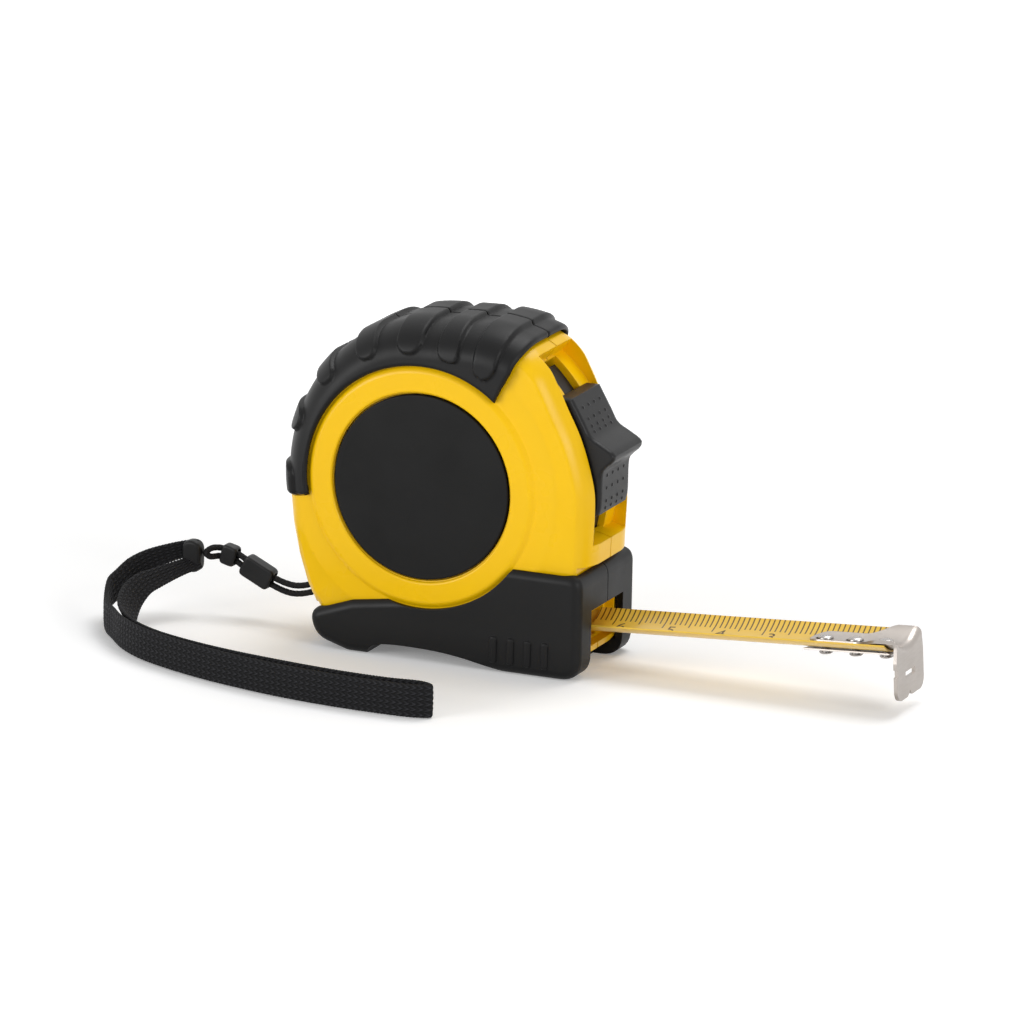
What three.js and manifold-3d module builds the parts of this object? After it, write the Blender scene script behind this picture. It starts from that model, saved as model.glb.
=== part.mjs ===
// A retractable pocket tape measure with a rubber jacket, a thumb lock and a wrist strap.
// Millimetres, +Z up. The blade runs out along +X, -Y is the side with the open view of the
// lock, and the model stands on z = 0 with its origin at the middle of its footprint.
import * as THREE from 'three';
import { mergeVertices } from 'three/addons/utils/BufferGeometryUtils.js';
import Module from 'manifold-3d';

const wasm = await Module();
wasm.setup();

// Fits that the whole part shares
const clearance = 0.3;
const overrun = 2;
const fineSides = 48;
const smallSides = 20;
const frontSteps = 18;

// Blade: its width sets the widths of what it runs in
const bladeTilt = 3.6;
const bladeRimZ = 9.4;
const bladeWidth = 13.2;
const bladeHalf = bladeWidth / 2;
const bladeThickness = 0.3;
const bladeCup = 2.2;
const bladeBottomZ = bladeRimZ - bladeCup;

// Spool, spring and post: the drum sets the radii of what goes round it
const drumRadius = 14;
const drumWall = 1.1;
const windingDepth = 5.2;
const woundOuterRadius = drumRadius + windingDepth;
const flangeLip = 2.4;
const flangeRadius = woundOuterRadius + flangeLip;
const flangeThickness = 0.8;
const flangeGap = 0.7;
const flangeInnerY = bladeHalf + flangeGap;
const postRadius = 2.6;
const postBossWall = 1.4;
const postBossRadius = postRadius + postBossWall;
const springTurns = 5;
const springStepsPerTurn = 18;
const springThickness = 0.35;
const springMargin = 1.1;
const springHalfWidth = flangeInnerY - springMargin;
const springGap = 1.6;
const springInnerRadius = postRadius + springGap;

// Casing: a yellow clam shell in two halves round the spool axis
const spoolFloor = 11.7;
const axisHeight = flangeRadius + spoolFloor;
const spoolRoom = 4.2;
const cavityRadius = flangeRadius + spoolRoom;
const backWall = 1.8;
const caseBackReach = cavityRadius + backWall;
const topWall = 3.5;
const caseTopRise = cavityRadius + topWall;
const sideRoom = 2.2;
const cavityHalfWidth = flangeInnerY + flangeThickness + sideRoom;
const sideWall = 1.7;
const caseHalfWidth = cavityHalfWidth + sideWall;
const caseCrown = 4.6;
const caseCrownWidth = 7.6;
const frontReach = 3.15;
const caseFrontX = caseTopRise + frontReach;
const chinDrop = 12.1;
const caseChinZ = axisHeight - chinDrop;
const frontShares = [[1.145, -0.1], [1.135, 0.1], [1.05, 0.385], [0.94, 0.605], [0.875, 0.735],
  [0.8, 0.855], [0.66, 0.955], [0.4, 1.01]];
const backArcAngle = 198;
const rearShares = [[0.9528986, 0.5405405], [0.9311594, 0.3903904], [0.8478261, 0.2102102]];
const heelShare = 0.7065217;
const noseStep = 1.45;
const caseNoseX = caseFrontX - noseStep;
const caseFloorZ = 3.4;
const archRise = 2.3;
const caseHeelZ = archRise + clearance;
const caseHeelFrontX = -7;
const tailLipAngle = 191;
const tailLipShares = [[1.0036232, 0.7507508], [0.9311594, 0.6156156]];
const partingGap = 0.3;
const stepInset = 0.4;
const stepRadius = caseBackReach - stepInset;
const stepDepth = 0.5;
const ringLip = 1;
const ringOuterRadius = flangeRadius + ringLip;
const ringWidth = 4.5;
const ringInnerRadius = ringOuterRadius - ringWidth;
const ringRaise = 0.7;
const ringRound = 0.35;
const discGap = 0.5;
const discRadius = ringInnerRadius - discGap;
const discSeatDepth = 1;
const discRaise = 0.45;

// Rubber jacket
const rubber = 1.5;
const gripStartAngle = 55;
const gripEndAngle = 190;
const gripInsetAngle = 3;
const gripGap = 0.5;
const gripSideRadius = ringOuterRadius + gripGap;
const gripFrontShares = [[0.5, 0.61], [0.535, 0.735], [0.6, 0.86], [0.7, 0.97], [0.74, 1.15]];
const padShares = [[0.04, 0.11], [0.152, 0.215], [0.26, 0.34], [0.407, 0.478],
  [0.567, 0.637], [0.733, 0.81], [0.907, 1]];
const padRaise = 0.8;
const padEndGap = 2.1;
const padEndRadius = gripSideRadius + padEndGap;
const baseOverhang = 1.3;
const baseHalfWidth = caseHalfWidth + baseOverhang;
const baseRound = 1.8;
const baseProud = 0.35;
const baseFrontX = caseFrontX + baseProud;
const baseStep = 1;
const baseShoulderZ = caseChinZ - baseStep;
const tailInset = 5;
const baseTailX = caseBackReach - tailInset;
const baseTailZ = 7;
const heelRun = 6.2;
const baseHeelX = baseTailX - heelRun;
const bumpRun = 9;
const baseBumpX = baseTailX - bumpRun;
const footHeelX = 10;
const toeRound = 3.2;
const footToeX = baseFrontX - toeRound;
const footToeZ = 4.2;
const toeLength = 13.1;
const archStartX = 7.5;
const archEndX = footToeX - toeLength;
const sideRibCount = 4;
const sideRibPitch = 3.45;
const sideRibRun = 14;
const sideRibFirstX = footToeX - sideRibRun;
const sideRibWidth = 1.5;
const sideRibTopZ = 7;
const sideRibRaise = 0.45;

// Mouth and blade channel
const mouthMargin = 0.9;
const mouthHalfWidth = bladeHalf + mouthMargin;
const mouthRise = 3.2;
const mouthTopZ = bladeRimZ + mouthRise;
const lipDrop = 2.7;
const lipZ = bladeBottomZ - lipDrop;
const channelMargin = 0.5;
const channelHalfWidth = bladeHalf + channelMargin;
const channelInset = 8;
const channelRearX = channelInset - caseBackReach;
const deepChannelRun = 10.8;
const deepChannelX = baseFrontX - deepChannelRun;

// Blade, hook and rivets, drawn level and then tilted about the mouth
const bladeMouthX = baseFrontX + baseProud + clearance / 2;
const bladeTuck = 3.8;
const bladeRearX = baseFrontX - bladeTuck;
const bladeOut = 57.2;
const bladeEndX = bladeMouthX + bladeOut;
const leadStartX = 5;
const leadGap = 0.4;
const leadEndX = bladeRearX - leadGap;
const hookGap = 1.7;
const hookX = bladeEndX + hookGap;
const hookPlate = 0.8;
const hookDrop = 10.5;
const hookCorner = 2.2;
const hookNotchWidth = 1.6;
const hookNotchRise = 1.1;
const hookSideNotchDrop = 5;
const hookSideNotch = 0.7;
const hookSlotWidth = 4.8;
const hookSlotHeight = 1.2;
const hookSlotDrop = 6.2;
const hookRelief = 0.1;
const hookReliefDrop = 3.9;
const hookExtra = 0.2;
const hookWidth = bladeWidth + hookExtra;
const tangWidth = 6.4;
const tangLength = 16.9;
const tangStartX = bladeEndX - tangLength;
const tangPlate = 0.5;
const tangPlainLength = 9.6;
const tangFlareX = tangStartX + tangPlainLength;
const shoulderLength = 3.2;
const hookShoulderX = hookX - shoulderLength;
const shoulderInset = 1.8;
const shoulderWidth = hookWidth - shoulderInset;
const backingLip = 0.4;
const backingStartX = tangStartX - backingLip;
const backingEndX = bladeEndX - clearance;
const rivetPitch = 5.95;
const rivetSetback = 2.9;
const rivetFirstX = tangStartX + rivetSetback;
const rivetCount = 3;
const rivetRadius = 0.8;
const rivetHeadRadius = 1.45;
const rivetHeadHeight = 0.6;
const rivetTailRadius = 1.3;
const hookFloat = 0.8;

// Case screws
const screwCount = 4;
const screwInset = 1.6;
const screwCircle = cavityRadius - screwInset;
const screwAngleShares = [0.165, 0.36, 0.565, 0.88];
const screwRadius = 1;
const screwHeadRadius = 1.7;
const screwSeatDepth = 1.4;
const screwHeadHeight = 0.5;
const bossRadius = 1.9;
const screwMargin = 3.8;
const screwEndY = screwMargin - cavityHalfWidth;

// Lock: a thumb button on a curved strip that runs in a slot round the spool axis
const lockWall = 2.9;
const stripInnerRadius = cavityRadius + lockWall;
const stripThickness = 1.3;
const recessFloor = 1.1;
const recessRadius = stripInnerRadius + stripThickness + recessFloor;
const recessHalfWidth = 7.6;
const recessLowAngle = -14;
const recessHighAngle = 51.5;
const slotHalfWidth = 3.5;
const slotLowAngle = -59;
const slotHighAngle = 62;
const stripMargin = 0.5;
const stripHalfWidth = slotHalfWidth - stripMargin;
const stripLowAngle = -38;
const stripHighAngle = 45;
const buttonMargin = 0.6;
const buttonHalfWidth = recessHalfWidth - buttonMargin;
const buttonRound = 1.3;
const buttonRise = 6;
const buttonLowAngle = -7;
const buttonHighAngle = 37;
const buttonShares = [[0.35, -0.12], [0.4, -0.03], [0.475, 0.22], [0.625, 0.28], [0.95, 0.335],
  [1, 0.39], [0.7, 0.475], [0.4, 0.57], [0.34, 0.7], [0.34, 0.93]];
const padExtra = 0.8;
const padLowAngle = -56.5;
const padGapAngle = 0.7;

// Wrist strap
const pinRadius = 0.9;
const pinInset = 5.4;
const pinX = pinInset - caseBackReach;
const pinZ = 9.2;
const pinHalfLength = 5;
const pocketHalfWidth = 2.2;
const pocketHalfHeight = 1.9;
const cordRadius = 0.6;
const strandPitch = 1.5;
const bandWidth = 6.3;
const bandThickness = 1;
const bandEndWidth = 3.2;
const bandTaperShare = 0.12;
const bandLean = 50;
const bandLeanShare = 0.3;
const bandSteps = 76;
const ferruleLength = 6.6;
const ferruleHeight = 4.2;
const ferruleWidth = 2.8;
const clipLength = 3.2;
const clipHeight = 3.9;
const clipWidth = 2.6;

// The blade's reach and the grip's rear set the middle of the footprint
const tilt = THREE.MathUtils.degToRad(bladeTilt);
const hookTipX = bladeMouthX + (hookX + hookPlate - bladeMouthX) * Math.cos(tilt)
  + hookDrop * Math.sin(tilt);
const gripRearX = -(caseBackReach + rubber + padRaise);
const originX = (hookTipX + gripRearX) / 2;

const finishes = {
  yellow: new THREE.MeshStandardMaterial({ color: 0xf6c615, roughness: 0.35, metalness: 0 }),
  rubber: new THREE.MeshStandardMaterial({ color: 0x262628, roughness: 0.75, metalness: 0 }),
  black: new THREE.MeshStandardMaterial({ color: 0x2c2c2e, roughness: 0.5, metalness: 0 }),
  disc: new THREE.MeshStandardMaterial({ color: 0x262626, roughness: 0.6, metalness: 0 }),
  steel: new THREE.MeshStandardMaterial({ color: 0xc2bdb8, roughness: 0.35, metalness: 1 }),
  blade: new THREE.MeshStandardMaterial({ color: 0xe9c04f, roughness: 0.4, metalness: 0 }),
  spool: new THREE.MeshStandardMaterial({ color: 0x8c8f92, roughness: 0.6, metalness: 0 }),
  spring: new THREE.MeshStandardMaterial({ color: 0x5d6168, roughness: 0.35, metalness: 1 }),
  strap: new THREE.MeshStandardMaterial({ color: 0x1f1f21, roughness: 0.9, metalness: 0 }),
};

// Booleans
function solidOf(geometry) {
  const plain = geometry.clone();
  plain.deleteAttribute('normal');
  plain.deleteAttribute('uv');
  const merged = mergeVertices(plain, clearance / 1000);
  const vertProperties = new Float32Array(merged.attributes.position.array);
  const triVerts = new Uint32Array(merged.index.array);
  return new wasm.Manifold(new wasm.Mesh({ numProp: 3, vertProperties, triVerts }));
}

function geometryOf(solid) {
  const mesh = solid.getMesh();
  const geometry = new THREE.BufferGeometry();
  geometry.setAttribute('position', new THREE.BufferAttribute(mesh.vertProperties, 3));
  geometry.setIndex(new THREE.BufferAttribute(mesh.triVerts, 1));
  return geometry;
}

function join(first, ...others) {
  return geometryOf(others.reduce((sum, other) => sum.add(solidOf(other)), solidOf(first)));
}

function cut(first, ...others) {
  return geometryOf(others.reduce((sum, other) => sum.subtract(solidOf(other)), solidOf(first)));
}

function meet(first, second) {
  return geometryOf(solidOf(first).intersect(solidOf(second)));
}

// Shapes: outlines lie in the XZ plane and are extruded along Y
function polar(radius, degrees) {
  const angle = THREE.MathUtils.degToRad(degrees);
  return new THREE.Vector2(radius * Math.cos(angle), axisHeight + radius * Math.sin(angle));
}

function slab(shape, nearY, farY, curveSegments = smallSides) {
  const geometry = new THREE.ExtrudeGeometry(shape, {
    depth: farY - nearY, bevelEnabled: false, curveSegments,
  });
  return geometry.rotateX(Math.PI / 2).translate(0, farY, 0);
}

function roundedSlab(shape, halfWidth, roundRadial, roundAcross, grow = 0, steps = 3,
  curveSegments = 12) {
  const depth = 2 * (halfWidth - roundAcross);
  const geometry = new THREE.ExtrudeGeometry(shape, {
    depth,
    bevelThickness: roundAcross,
    bevelSize: roundRadial,
    bevelOffset: grow - roundRadial,
    bevelSegments: steps,
    curveSegments,
  });
  return geometry.rotateX(Math.PI / 2).translate(0, depth / 2, 0);
}

function box(fromX, toX, fromY, toY, fromZ, toZ) {
  return new THREE.BoxGeometry(toX - fromX, toY - fromY, toZ - fromZ)
    .translate((fromX + toX) / 2, (fromY + toY) / 2, (fromZ + toZ) / 2);
}

function across(radius, fromY, toY, x = 0, z = axisHeight, sides = fineSides) {
  return new THREE.CylinderGeometry(radius, radius, toY - fromY, sides)
    .translate(x, (fromY + toY) / 2, z);
}

function turned(profile, sides = fineSides, x = 0, z = axisHeight) {
  return new THREE.LatheGeometry([...profile, profile[0]], sides).translate(x, 0, z);
}

function point(radius, y) {
  return new THREE.Vector2(radius, y);
}

function arcShape(innerRadius, outerRadius, lowAngle, highAngle) {
  const shape = new THREE.Shape();
  const low = THREE.MathUtils.degToRad(lowAngle);
  const high = THREE.MathUtils.degToRad(highAngle);
  shape.absarc(0, axisHeight, outerRadius, low, high, false);
  shape.absarc(0, axisHeight, innerRadius, high, low, true);
  shape.closePath();
  return shape;
}

function halfSpace(side) {
  const reach = caseTopRise * 4;
  const start = partingGap / 2;
  return side < 0
    ? box(-reach, reach, -reach, -start, -reach, reach)
    : box(-reach, reach, start, reach, -reach, reach);
}

// The casing's outline: a round back, a brow over the lock and a plain nose at the mouth
function caseShape() {
  const shape = new THREE.Shape();
  shape.moveTo(caseNoseX, caseFloorZ);
  shape.lineTo(caseNoseX, caseChinZ);
  shape.lineTo(caseFrontX, caseChinZ);
  const front = frontShares.map(([x, z]) => new THREE.Vector2(x * caseTopRise,
    axisHeight + z * caseTopRise));
  const brow = new THREE.SplineCurve([...front, new THREE.Vector2(0, axisHeight + caseTopRise)]);
  brow.getPoints(frontSteps).forEach(({ x, y }) => shape.lineTo(x, y));
  shape.absellipse(0, axisHeight, caseBackReach, caseTopRise, Math.PI / 2,
    THREE.MathUtils.degToRad(backArcAngle), false, 0);
  rearShares.forEach(([x, z]) => shape.lineTo(-x * caseBackReach, z * axisHeight));
  shape.lineTo(-heelShare * caseBackReach, caseHeelZ);
  shape.lineTo(caseHeelFrontX - caseHeelZ, caseHeelZ);
  shape.lineTo(caseHeelFrontX, caseFloorZ);
  shape.closePath();
  return shape;
}

function caseBlank(grow = 0) {
  return roundedSlab(caseShape(), caseHalfWidth + grow, caseCrown, caseCrownWidth, grow, 3, 14);
}

// A lip behind, below the end of the rubber and flush with it
function tailLip() {
  const shape = new THREE.Shape();
  const start = polar(caseBackReach + overrun, tailLipAngle);
  const inner = polar(stepRadius - overrun, tailLipAngle);
  const [lip, foot] = tailLipShares.map(([x, z]) => new THREE.Vector2(-x * caseBackReach,
    z * axisHeight));
  shape.moveTo(start.x, start.y);
  shape.lineTo(lip.x, lip.y);
  shape.lineTo(foot.x, foot.y);
  shape.lineTo(inner.x, foot.y);
  shape.lineTo(inner.x, inner.y);
  shape.closePath();
  return meet(caseBlank(rubber), slab(shape, -caseHalfWidth * 2, caseHalfWidth * 2));
}

// The blade group's frame: level blade coordinates, tilted about the mouth
function tilted(geometry) {
  return geometry.translate(-bladeMouthX, 0, -bladeRimZ).rotateY(-tilt)
    .translate(bladeMouthX, 0, bladeRimZ);
}

function bladeChannel() {
  const top = bladeRimZ + 2 * clearance;
  const bottom = bladeBottomZ - bladeThickness - 2 * clearance;
  const run = box(leadStartX - clearance, baseFrontX + overrun * 2, -channelHalfWidth,
    channelHalfWidth, bottom, top);
  const rear = box(channelRearX, leadStartX, -channelHalfWidth, channelHalfWidth,
    bladeBottomZ - clearance, top);
  const deep = box(deepChannelX, baseFrontX + overrun * 2, -tangWidth / 2 - clearance,
    tangWidth / 2 + clearance, bottom - rivetHeadHeight - clearance, top);
  return tilted(join(run, rear, deep));
}

function mouthOpening() {
  return box(caseNoseX - overrun, baseFrontX + overrun * 2, -mouthHalfWidth,
    mouthHalfWidth, lipZ, mouthTopZ);
}

function screwPlace(index) {
  return polar(screwCircle, 360 * screwAngleShares[index]);
}

function strapPocket() {
  return box(-caseBackReach - overrun, pinX + pinRadius + clearance * 2, -pocketHalfWidth,
    pocketHalfWidth, pinZ - pocketHalfHeight, pinZ + pocketHalfHeight);
}

function lockSlots() {
  const recess = slab(arcShape(recessRadius, recessRadius + caseTopRise, recessLowAngle,
    recessHighAngle), -recessHalfWidth, recessHalfWidth, 16);
  const window = slab(arcShape(stripInnerRadius - 3 * clearance, recessRadius + overrun,
    recessLowAngle, recessHighAngle), -slotHalfWidth, slotHalfWidth, 16);
  const track = slab(arcShape(cavityRadius - overrun,
    stripInnerRadius + stripThickness + clearance, slotLowAngle, slotHighAngle),
  -slotHalfWidth, slotHalfWidth, 16);
  return [recess, window, track];
}

// Raised ring, stepped flank and disc seat on one side face
function flankRing(side) {
  const inner = caseHalfWidth - stepDepth - clearance;
  const outer = caseHalfWidth + ringRaise;
  const profile = [
    point(ringOuterRadius, inner),
    point(ringOuterRadius, outer - ringRound),
    point(ringOuterRadius - ringRound, outer),
    point(ringInnerRadius + ringRound, outer),
    point(ringInnerRadius, outer - ringRound),
    point(ringInnerRadius, inner),
  ];
  const ring = turned(profile);
  return side < 0 ? ring.rotateZ(Math.PI) : ring;
}

function sideSpan(side, from, to) {
  return side < 0 ? [-to, -from] : [from, to];
}

function casing(side) {
  const flank = new THREE.Shape().absarc(0, axisHeight, stepRadius + caseTopRise, 0,
    2 * Math.PI);
  flank.holes.push(new THREE.Path().absarc(0, axisHeight, stepRadius, 0, 2 * Math.PI));
  const flankSpan = sideSpan(side, caseHalfWidth - stepDepth, caseHalfWidth + overrun);
  const seatSpan = sideSpan(side, caseHalfWidth - discSeatDepth, caseHalfWidth + overrun);
  const cavitySpan = sideSpan(side, -overrun, cavityHalfWidth);
  let body = cut(meet(join(caseBlank(), tailLip()), halfSpace(side)),
    slab(flank, ...flankSpan, fineSides),
    across(cavityRadius, ...cavitySpan));
  body = join(body, flankRing(side));
  body = cut(body, across(discRadius + clearance, ...seatSpan), bladeChannel(), mouthOpening(),
    ...lockSlots());
  const bossSpan = sideSpan(side, partingGap / 2, cavityHalfWidth + clearance);
  for (let index = 0; index < screwCount; index += 1) {
    const { x, y } = screwPlace(index);
    body = join(body, across(bossRadius, ...bossSpan, x, y, smallSides));
  }
  const postSpan = sideSpan(side, flangeInnerY + flangeThickness + 2 * clearance,
    cavityHalfWidth + clearance);
  body = join(body, across(postBossRadius, ...postSpan, 0, axisHeight, smallSides));
  body = cut(body, across(postRadius + clearance, -cavityHalfWidth + clearance,
    cavityHalfWidth - clearance, 0, axisHeight, smallSides));
  body = cut(body, ...screwBores(side));
  body = cut(body, strapPocket(),
    across(pinRadius + clearance, -pinHalfLength - clearance, pinHalfLength + clearance,
      pinX, pinZ, smallSides));
  return body;
}

function screwBores(side) {
  const bores = [];
  for (let index = 0; index < screwCount; index += 1) {
    const { x, y } = screwPlace(index);
    const boreEnd = side < 0 ? screwEndY - clearance : -overrun;
    bores.push(across(screwRadius + clearance, boreEnd, caseHalfWidth + overrun, x, y,
      smallSides));
    if (side > 0) {
      bores.push(across(screwHeadRadius + clearance, caseHalfWidth - screwSeatDepth,
        caseHalfWidth + overrun, x, y, smallSides));
    }
  }
  return bores;
}

function caseScrew(index) {
  const { x, y } = screwPlace(index);
  const headY = caseHalfWidth - screwSeatDepth + clearance;
  const profile = [
    point(0, screwEndY),
    point(screwRadius, screwEndY),
    point(screwRadius, headY),
    point(screwHeadRadius, headY),
    point(screwHeadRadius, headY + screwHeadHeight),
    point(0, headY + screwHeadHeight),
  ];
  return new THREE.LatheGeometry(profile, smallSides).translate(x, 0, y);
}

function sideDisc(side) {
  const [from, to] = sideSpan(side, caseHalfWidth - discSeatDepth + clearance,
    caseHalfWidth + discRaise);
  const rim = side < 0
    ? [point(0, from), point(discRadius - ringRound, from), point(discRadius, from + ringRound),
      point(discRadius, to), point(0, to)]
    : [point(0, from), point(discRadius, from), point(discRadius, to - ringRound),
      point(discRadius - ringRound, to), point(0, to)];
  return new THREE.LatheGeometry(rim, fineSides).translate(0, 0, axisHeight);
}

// Rubber over the top: a band with side flanks down to the ring and raised pads across it
function gripZone() {
  const reach = caseTopRise * 2;
  const shape = new THREE.Shape();
  const end = THREE.MathUtils.degToRad(gripEndAngle);
  const start = THREE.MathUtils.degToRad(gripStartAngle - gripInsetAngle);
  gripFrontShares.forEach(([xShare, zShare], index) => {
    const x = xShare * caseTopRise;
    const z = axisHeight + zShare * caseTopRise;
    if (index === 0) shape.moveTo(x, z);
    else shape.lineTo(x, z);
  });
  shape.lineTo(reach, axisHeight + reach);
  shape.lineTo(-reach, axisHeight + reach);
  shape.lineTo(reach * Math.cos(end), axisHeight + reach * Math.sin(end));
  shape.absarc(0, axisHeight, gripSideRadius, end, start, true);
  shape.closePath();
  return slab(shape, -reach, reach, 24);
}

function topGrip(side) {
  const reach = caseTopRise * 2;
  let body = caseBlank(rubber);
  const span = gripEndAngle - gripStartAngle;
  for (const [low, high] of padShares) {
    const sector = slab(arcShape(padEndRadius, reach, gripStartAngle + span * low,
      gripStartAngle + span * high), -reach, reach, 2);
    body = join(body, meet(caseBlank(rubber + padRaise), sector));
  }
  return cut(meet(meet(body, gripZone()), halfSpace(side)), caseBlank(clearance));
}

// Rubber round the foot, open at the mouth
function baseShape() {
  const shape = new THREE.Shape();
  shape.moveTo(footToeX, 0);
  shape.quadraticCurveTo(baseFrontX, 0, baseFrontX, footToeZ);
  shape.lineTo(baseFrontX, baseShoulderZ);
  shape.lineTo(gripSideRadius / 2, baseShoulderZ);
  shape.lineTo(0, axisHeight - ringOuterRadius + rubber);
  shape.lineTo(-baseBumpX, axisHeight - gripSideRadius);
  shape.lineTo(-baseTailX, baseTailZ);
  shape.quadraticCurveTo(-baseTailX + rubber, archRise, -baseHeelX, archRise);
  shape.lineTo(-footHeelX - overrun, 0);
  return shape;
}

// The foot's arch, which leaves a heel and a toe to stand on
function footArch() {
  const shape = new THREE.Shape();
  shape.moveTo(-footHeelX, -overrun);
  shape.lineTo(archEndX + overrun / 2, -overrun);
  shape.lineTo(archEndX, 0);
  shape.lineTo(archEndX - archRise * 1.5, archRise);
  shape.lineTo(-archStartX, archRise);
  shape.closePath();
  return slab(shape, -baseHalfWidth * 2, baseHalfWidth * 2);
}

function sideRib(side, index) {
  const x = sideRibFirstX + sideRibPitch * index;
  const outline = new THREE.Shape();
  const low = footToeZ / 2;
  outline.moveTo(x - sideRibWidth / 2, low);
  outline.lineTo(x + sideRibWidth / 2, low);
  outline.lineTo(x + sideRibWidth / 2, sideRibTopZ - sideRibWidth / 2);
  outline.absarc(x, sideRibTopZ - sideRibWidth / 2, sideRibWidth / 2, 0, Math.PI, false);
  outline.closePath();
  return slab(outline, ...sideSpan(side, baseHalfWidth - rubber / 2,
    baseHalfWidth + sideRibRaise), 6);
}

function baseGrip(side) {
  let body = roundedSlab(baseShape(), baseHalfWidth, baseRound, baseRound, 0, 3, 4);
  body = meet(body, halfSpace(side));
  for (let index = 0; index < sideRibCount; index += 1) {
    body = join(body, sideRib(side, index));
  }
  const ringBore = across(gripSideRadius, -baseHalfWidth * 2, baseHalfWidth * 2);
  const frontGap = box(caseNoseX - overrun * 2, baseFrontX + overrun, -mouthHalfWidth,
    mouthHalfWidth, -overrun, mouthTopZ);
  return cut(body, caseBlank(clearance), ringBore, frontGap, footArch(), strapPocket());
}

// Blade: a strip bent to a shallow cup, with holes for the rivets
function cupShape(width, cup, thickness) {
  const half = width / 2;
  const radius = (half * half + cup * cup) / (2 * cup);
  const reach = Math.asin(half / radius);
  const shape = new THREE.Shape();
  shape.absarc(0, radius, radius, -Math.PI / 2 - reach, -Math.PI / 2 + reach, false);
  shape.absarc(0, radius, radius - thickness, -Math.PI / 2 + reach, -Math.PI / 2 - reach, true);
  shape.closePath();
  return shape;
}

function cupped(shape, fromX, toX, bottomZ, segments = 10) {
  const geometry = new THREE.ExtrudeGeometry(shape, {
    depth: toX - fromX, bevelEnabled: false, curveSegments: segments,
  });
  return geometry.rotateX(Math.PI / 2).rotateZ(Math.PI / 2).translate(fromX, 0, bottomZ);
}

function rivetHole(index, radius, stretch = 0) {
  const x = rivetFirstX + rivetPitch * index;
  const shape = new THREE.Shape();
  shape.absarc(x - stretch, 0, radius, Math.PI / 2, Math.PI * 1.5, false);
  shape.absarc(x, 0, radius, -Math.PI / 2, Math.PI / 2, false);
  shape.closePath();
  const geometry = new THREE.ExtrudeGeometry(shape, {
    depth: bladeCup * 4, bevelEnabled: false, curveSegments: 6,
  });
  return geometry.translate(0, 0, bladeBottomZ - bladeCup * 2);
}

function rivetHoles(radius, stretch = 0) {
  return Array.from({ length: rivetCount }, (_, index) => rivetHole(index, radius, stretch));
}

function blade() {
  const strip = cupped(cupShape(bladeWidth, bladeCup, bladeThickness), bladeRearX, bladeEndX,
    bladeBottomZ);
  return tilted(cut(strip, ...rivetHoles(rivetRadius + clearance)));
}

// The run of the blade between the winding and the mouth, under the strip that slides. It is
// open in the middle at the mouth, where the rivets' tails come in with the strip.
function bladeLead() {
  const run = cupped(cupShape(bladeWidth, bladeCup, bladeThickness), leadStartX, leadEndX,
    bladeBottomZ - bladeThickness - clearance, 10);
  const tails = box(deepChannelX, leadEndX + overrun, -tangWidth / 2 - clearance,
    tangWidth / 2 + clearance, bladeBottomZ - bladeCup, bladeRimZ);
  return tilted(cut(run, tails));
}

function backingPlate() {
  const strip = cupped(cupShape(tangWidth, bladeCup / 6, bladeThickness), backingStartX,
    backingEndX, bladeBottomZ - bladeThickness - clearance, 4);
  return tilted(cut(strip, ...rivetHoles(rivetRadius + clearance)));
}

// The radius of the blade's cup, and a band that lies in it with a clearance
const cupRadius = (bladeHalf * bladeHalf + bladeCup * bladeCup) / (2 * bladeCup);
const nestRadius = cupRadius - bladeThickness - clearance;

function nestShape(width, radius, thickness) {
  const reach = Math.asin(width / 2 / radius);
  const shape = new THREE.Shape();
  shape.absarc(0, cupRadius, radius, -Math.PI / 2 - reach, -Math.PI / 2 + reach, false);
  shape.absarc(0, cupRadius, radius - thickness, -Math.PI / 2 + reach, -Math.PI / 2 - reach,
    true);
  shape.closePath();
  return shape;
}

// The hook's tang lies in the blade's cup and flares to the width of the face
function hookTang() {
  const plan = new THREE.Shape();
  const narrow = tangWidth / 2;
  const wide = shoulderWidth / 2;
  const middleX = (tangFlareX + hookShoulderX) / 2;
  const middle = (narrow + wide) / 2;
  plan.moveTo(tangStartX + narrow, -narrow);
  plan.lineTo(tangFlareX, -narrow);
  plan.quadraticCurveTo((tangFlareX + middleX) / 2, -narrow, middleX, -middle);
  plan.quadraticCurveTo((hookShoulderX + middleX) / 2, -wide, hookShoulderX, -wide);
  plan.lineTo(hookX + hookPlate, -wide);
  plan.lineTo(hookX + hookPlate, wide);
  plan.lineTo(hookShoulderX, wide);
  plan.quadraticCurveTo((hookShoulderX + middleX) / 2, wide, middleX, middle);
  plan.quadraticCurveTo((tangFlareX + middleX) / 2, narrow, tangFlareX, narrow);
  plan.lineTo(tangStartX + narrow, narrow);
  plan.absarc(tangStartX + narrow, 0, narrow, Math.PI / 2, Math.PI * 1.5, false);
  const prism = new THREE.ExtrudeGeometry(plan, {
    depth: bladeCup * 4, bevelEnabled: false, curveSegments: 5,
  }).translate(0, 0, bladeBottomZ - bladeCup);
  return meet(cupped(nestShape(shoulderWidth, nestRadius, tangPlate), tangStartX,
    hookX + hookPlate, bladeBottomZ, 12), prism);
}

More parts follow.
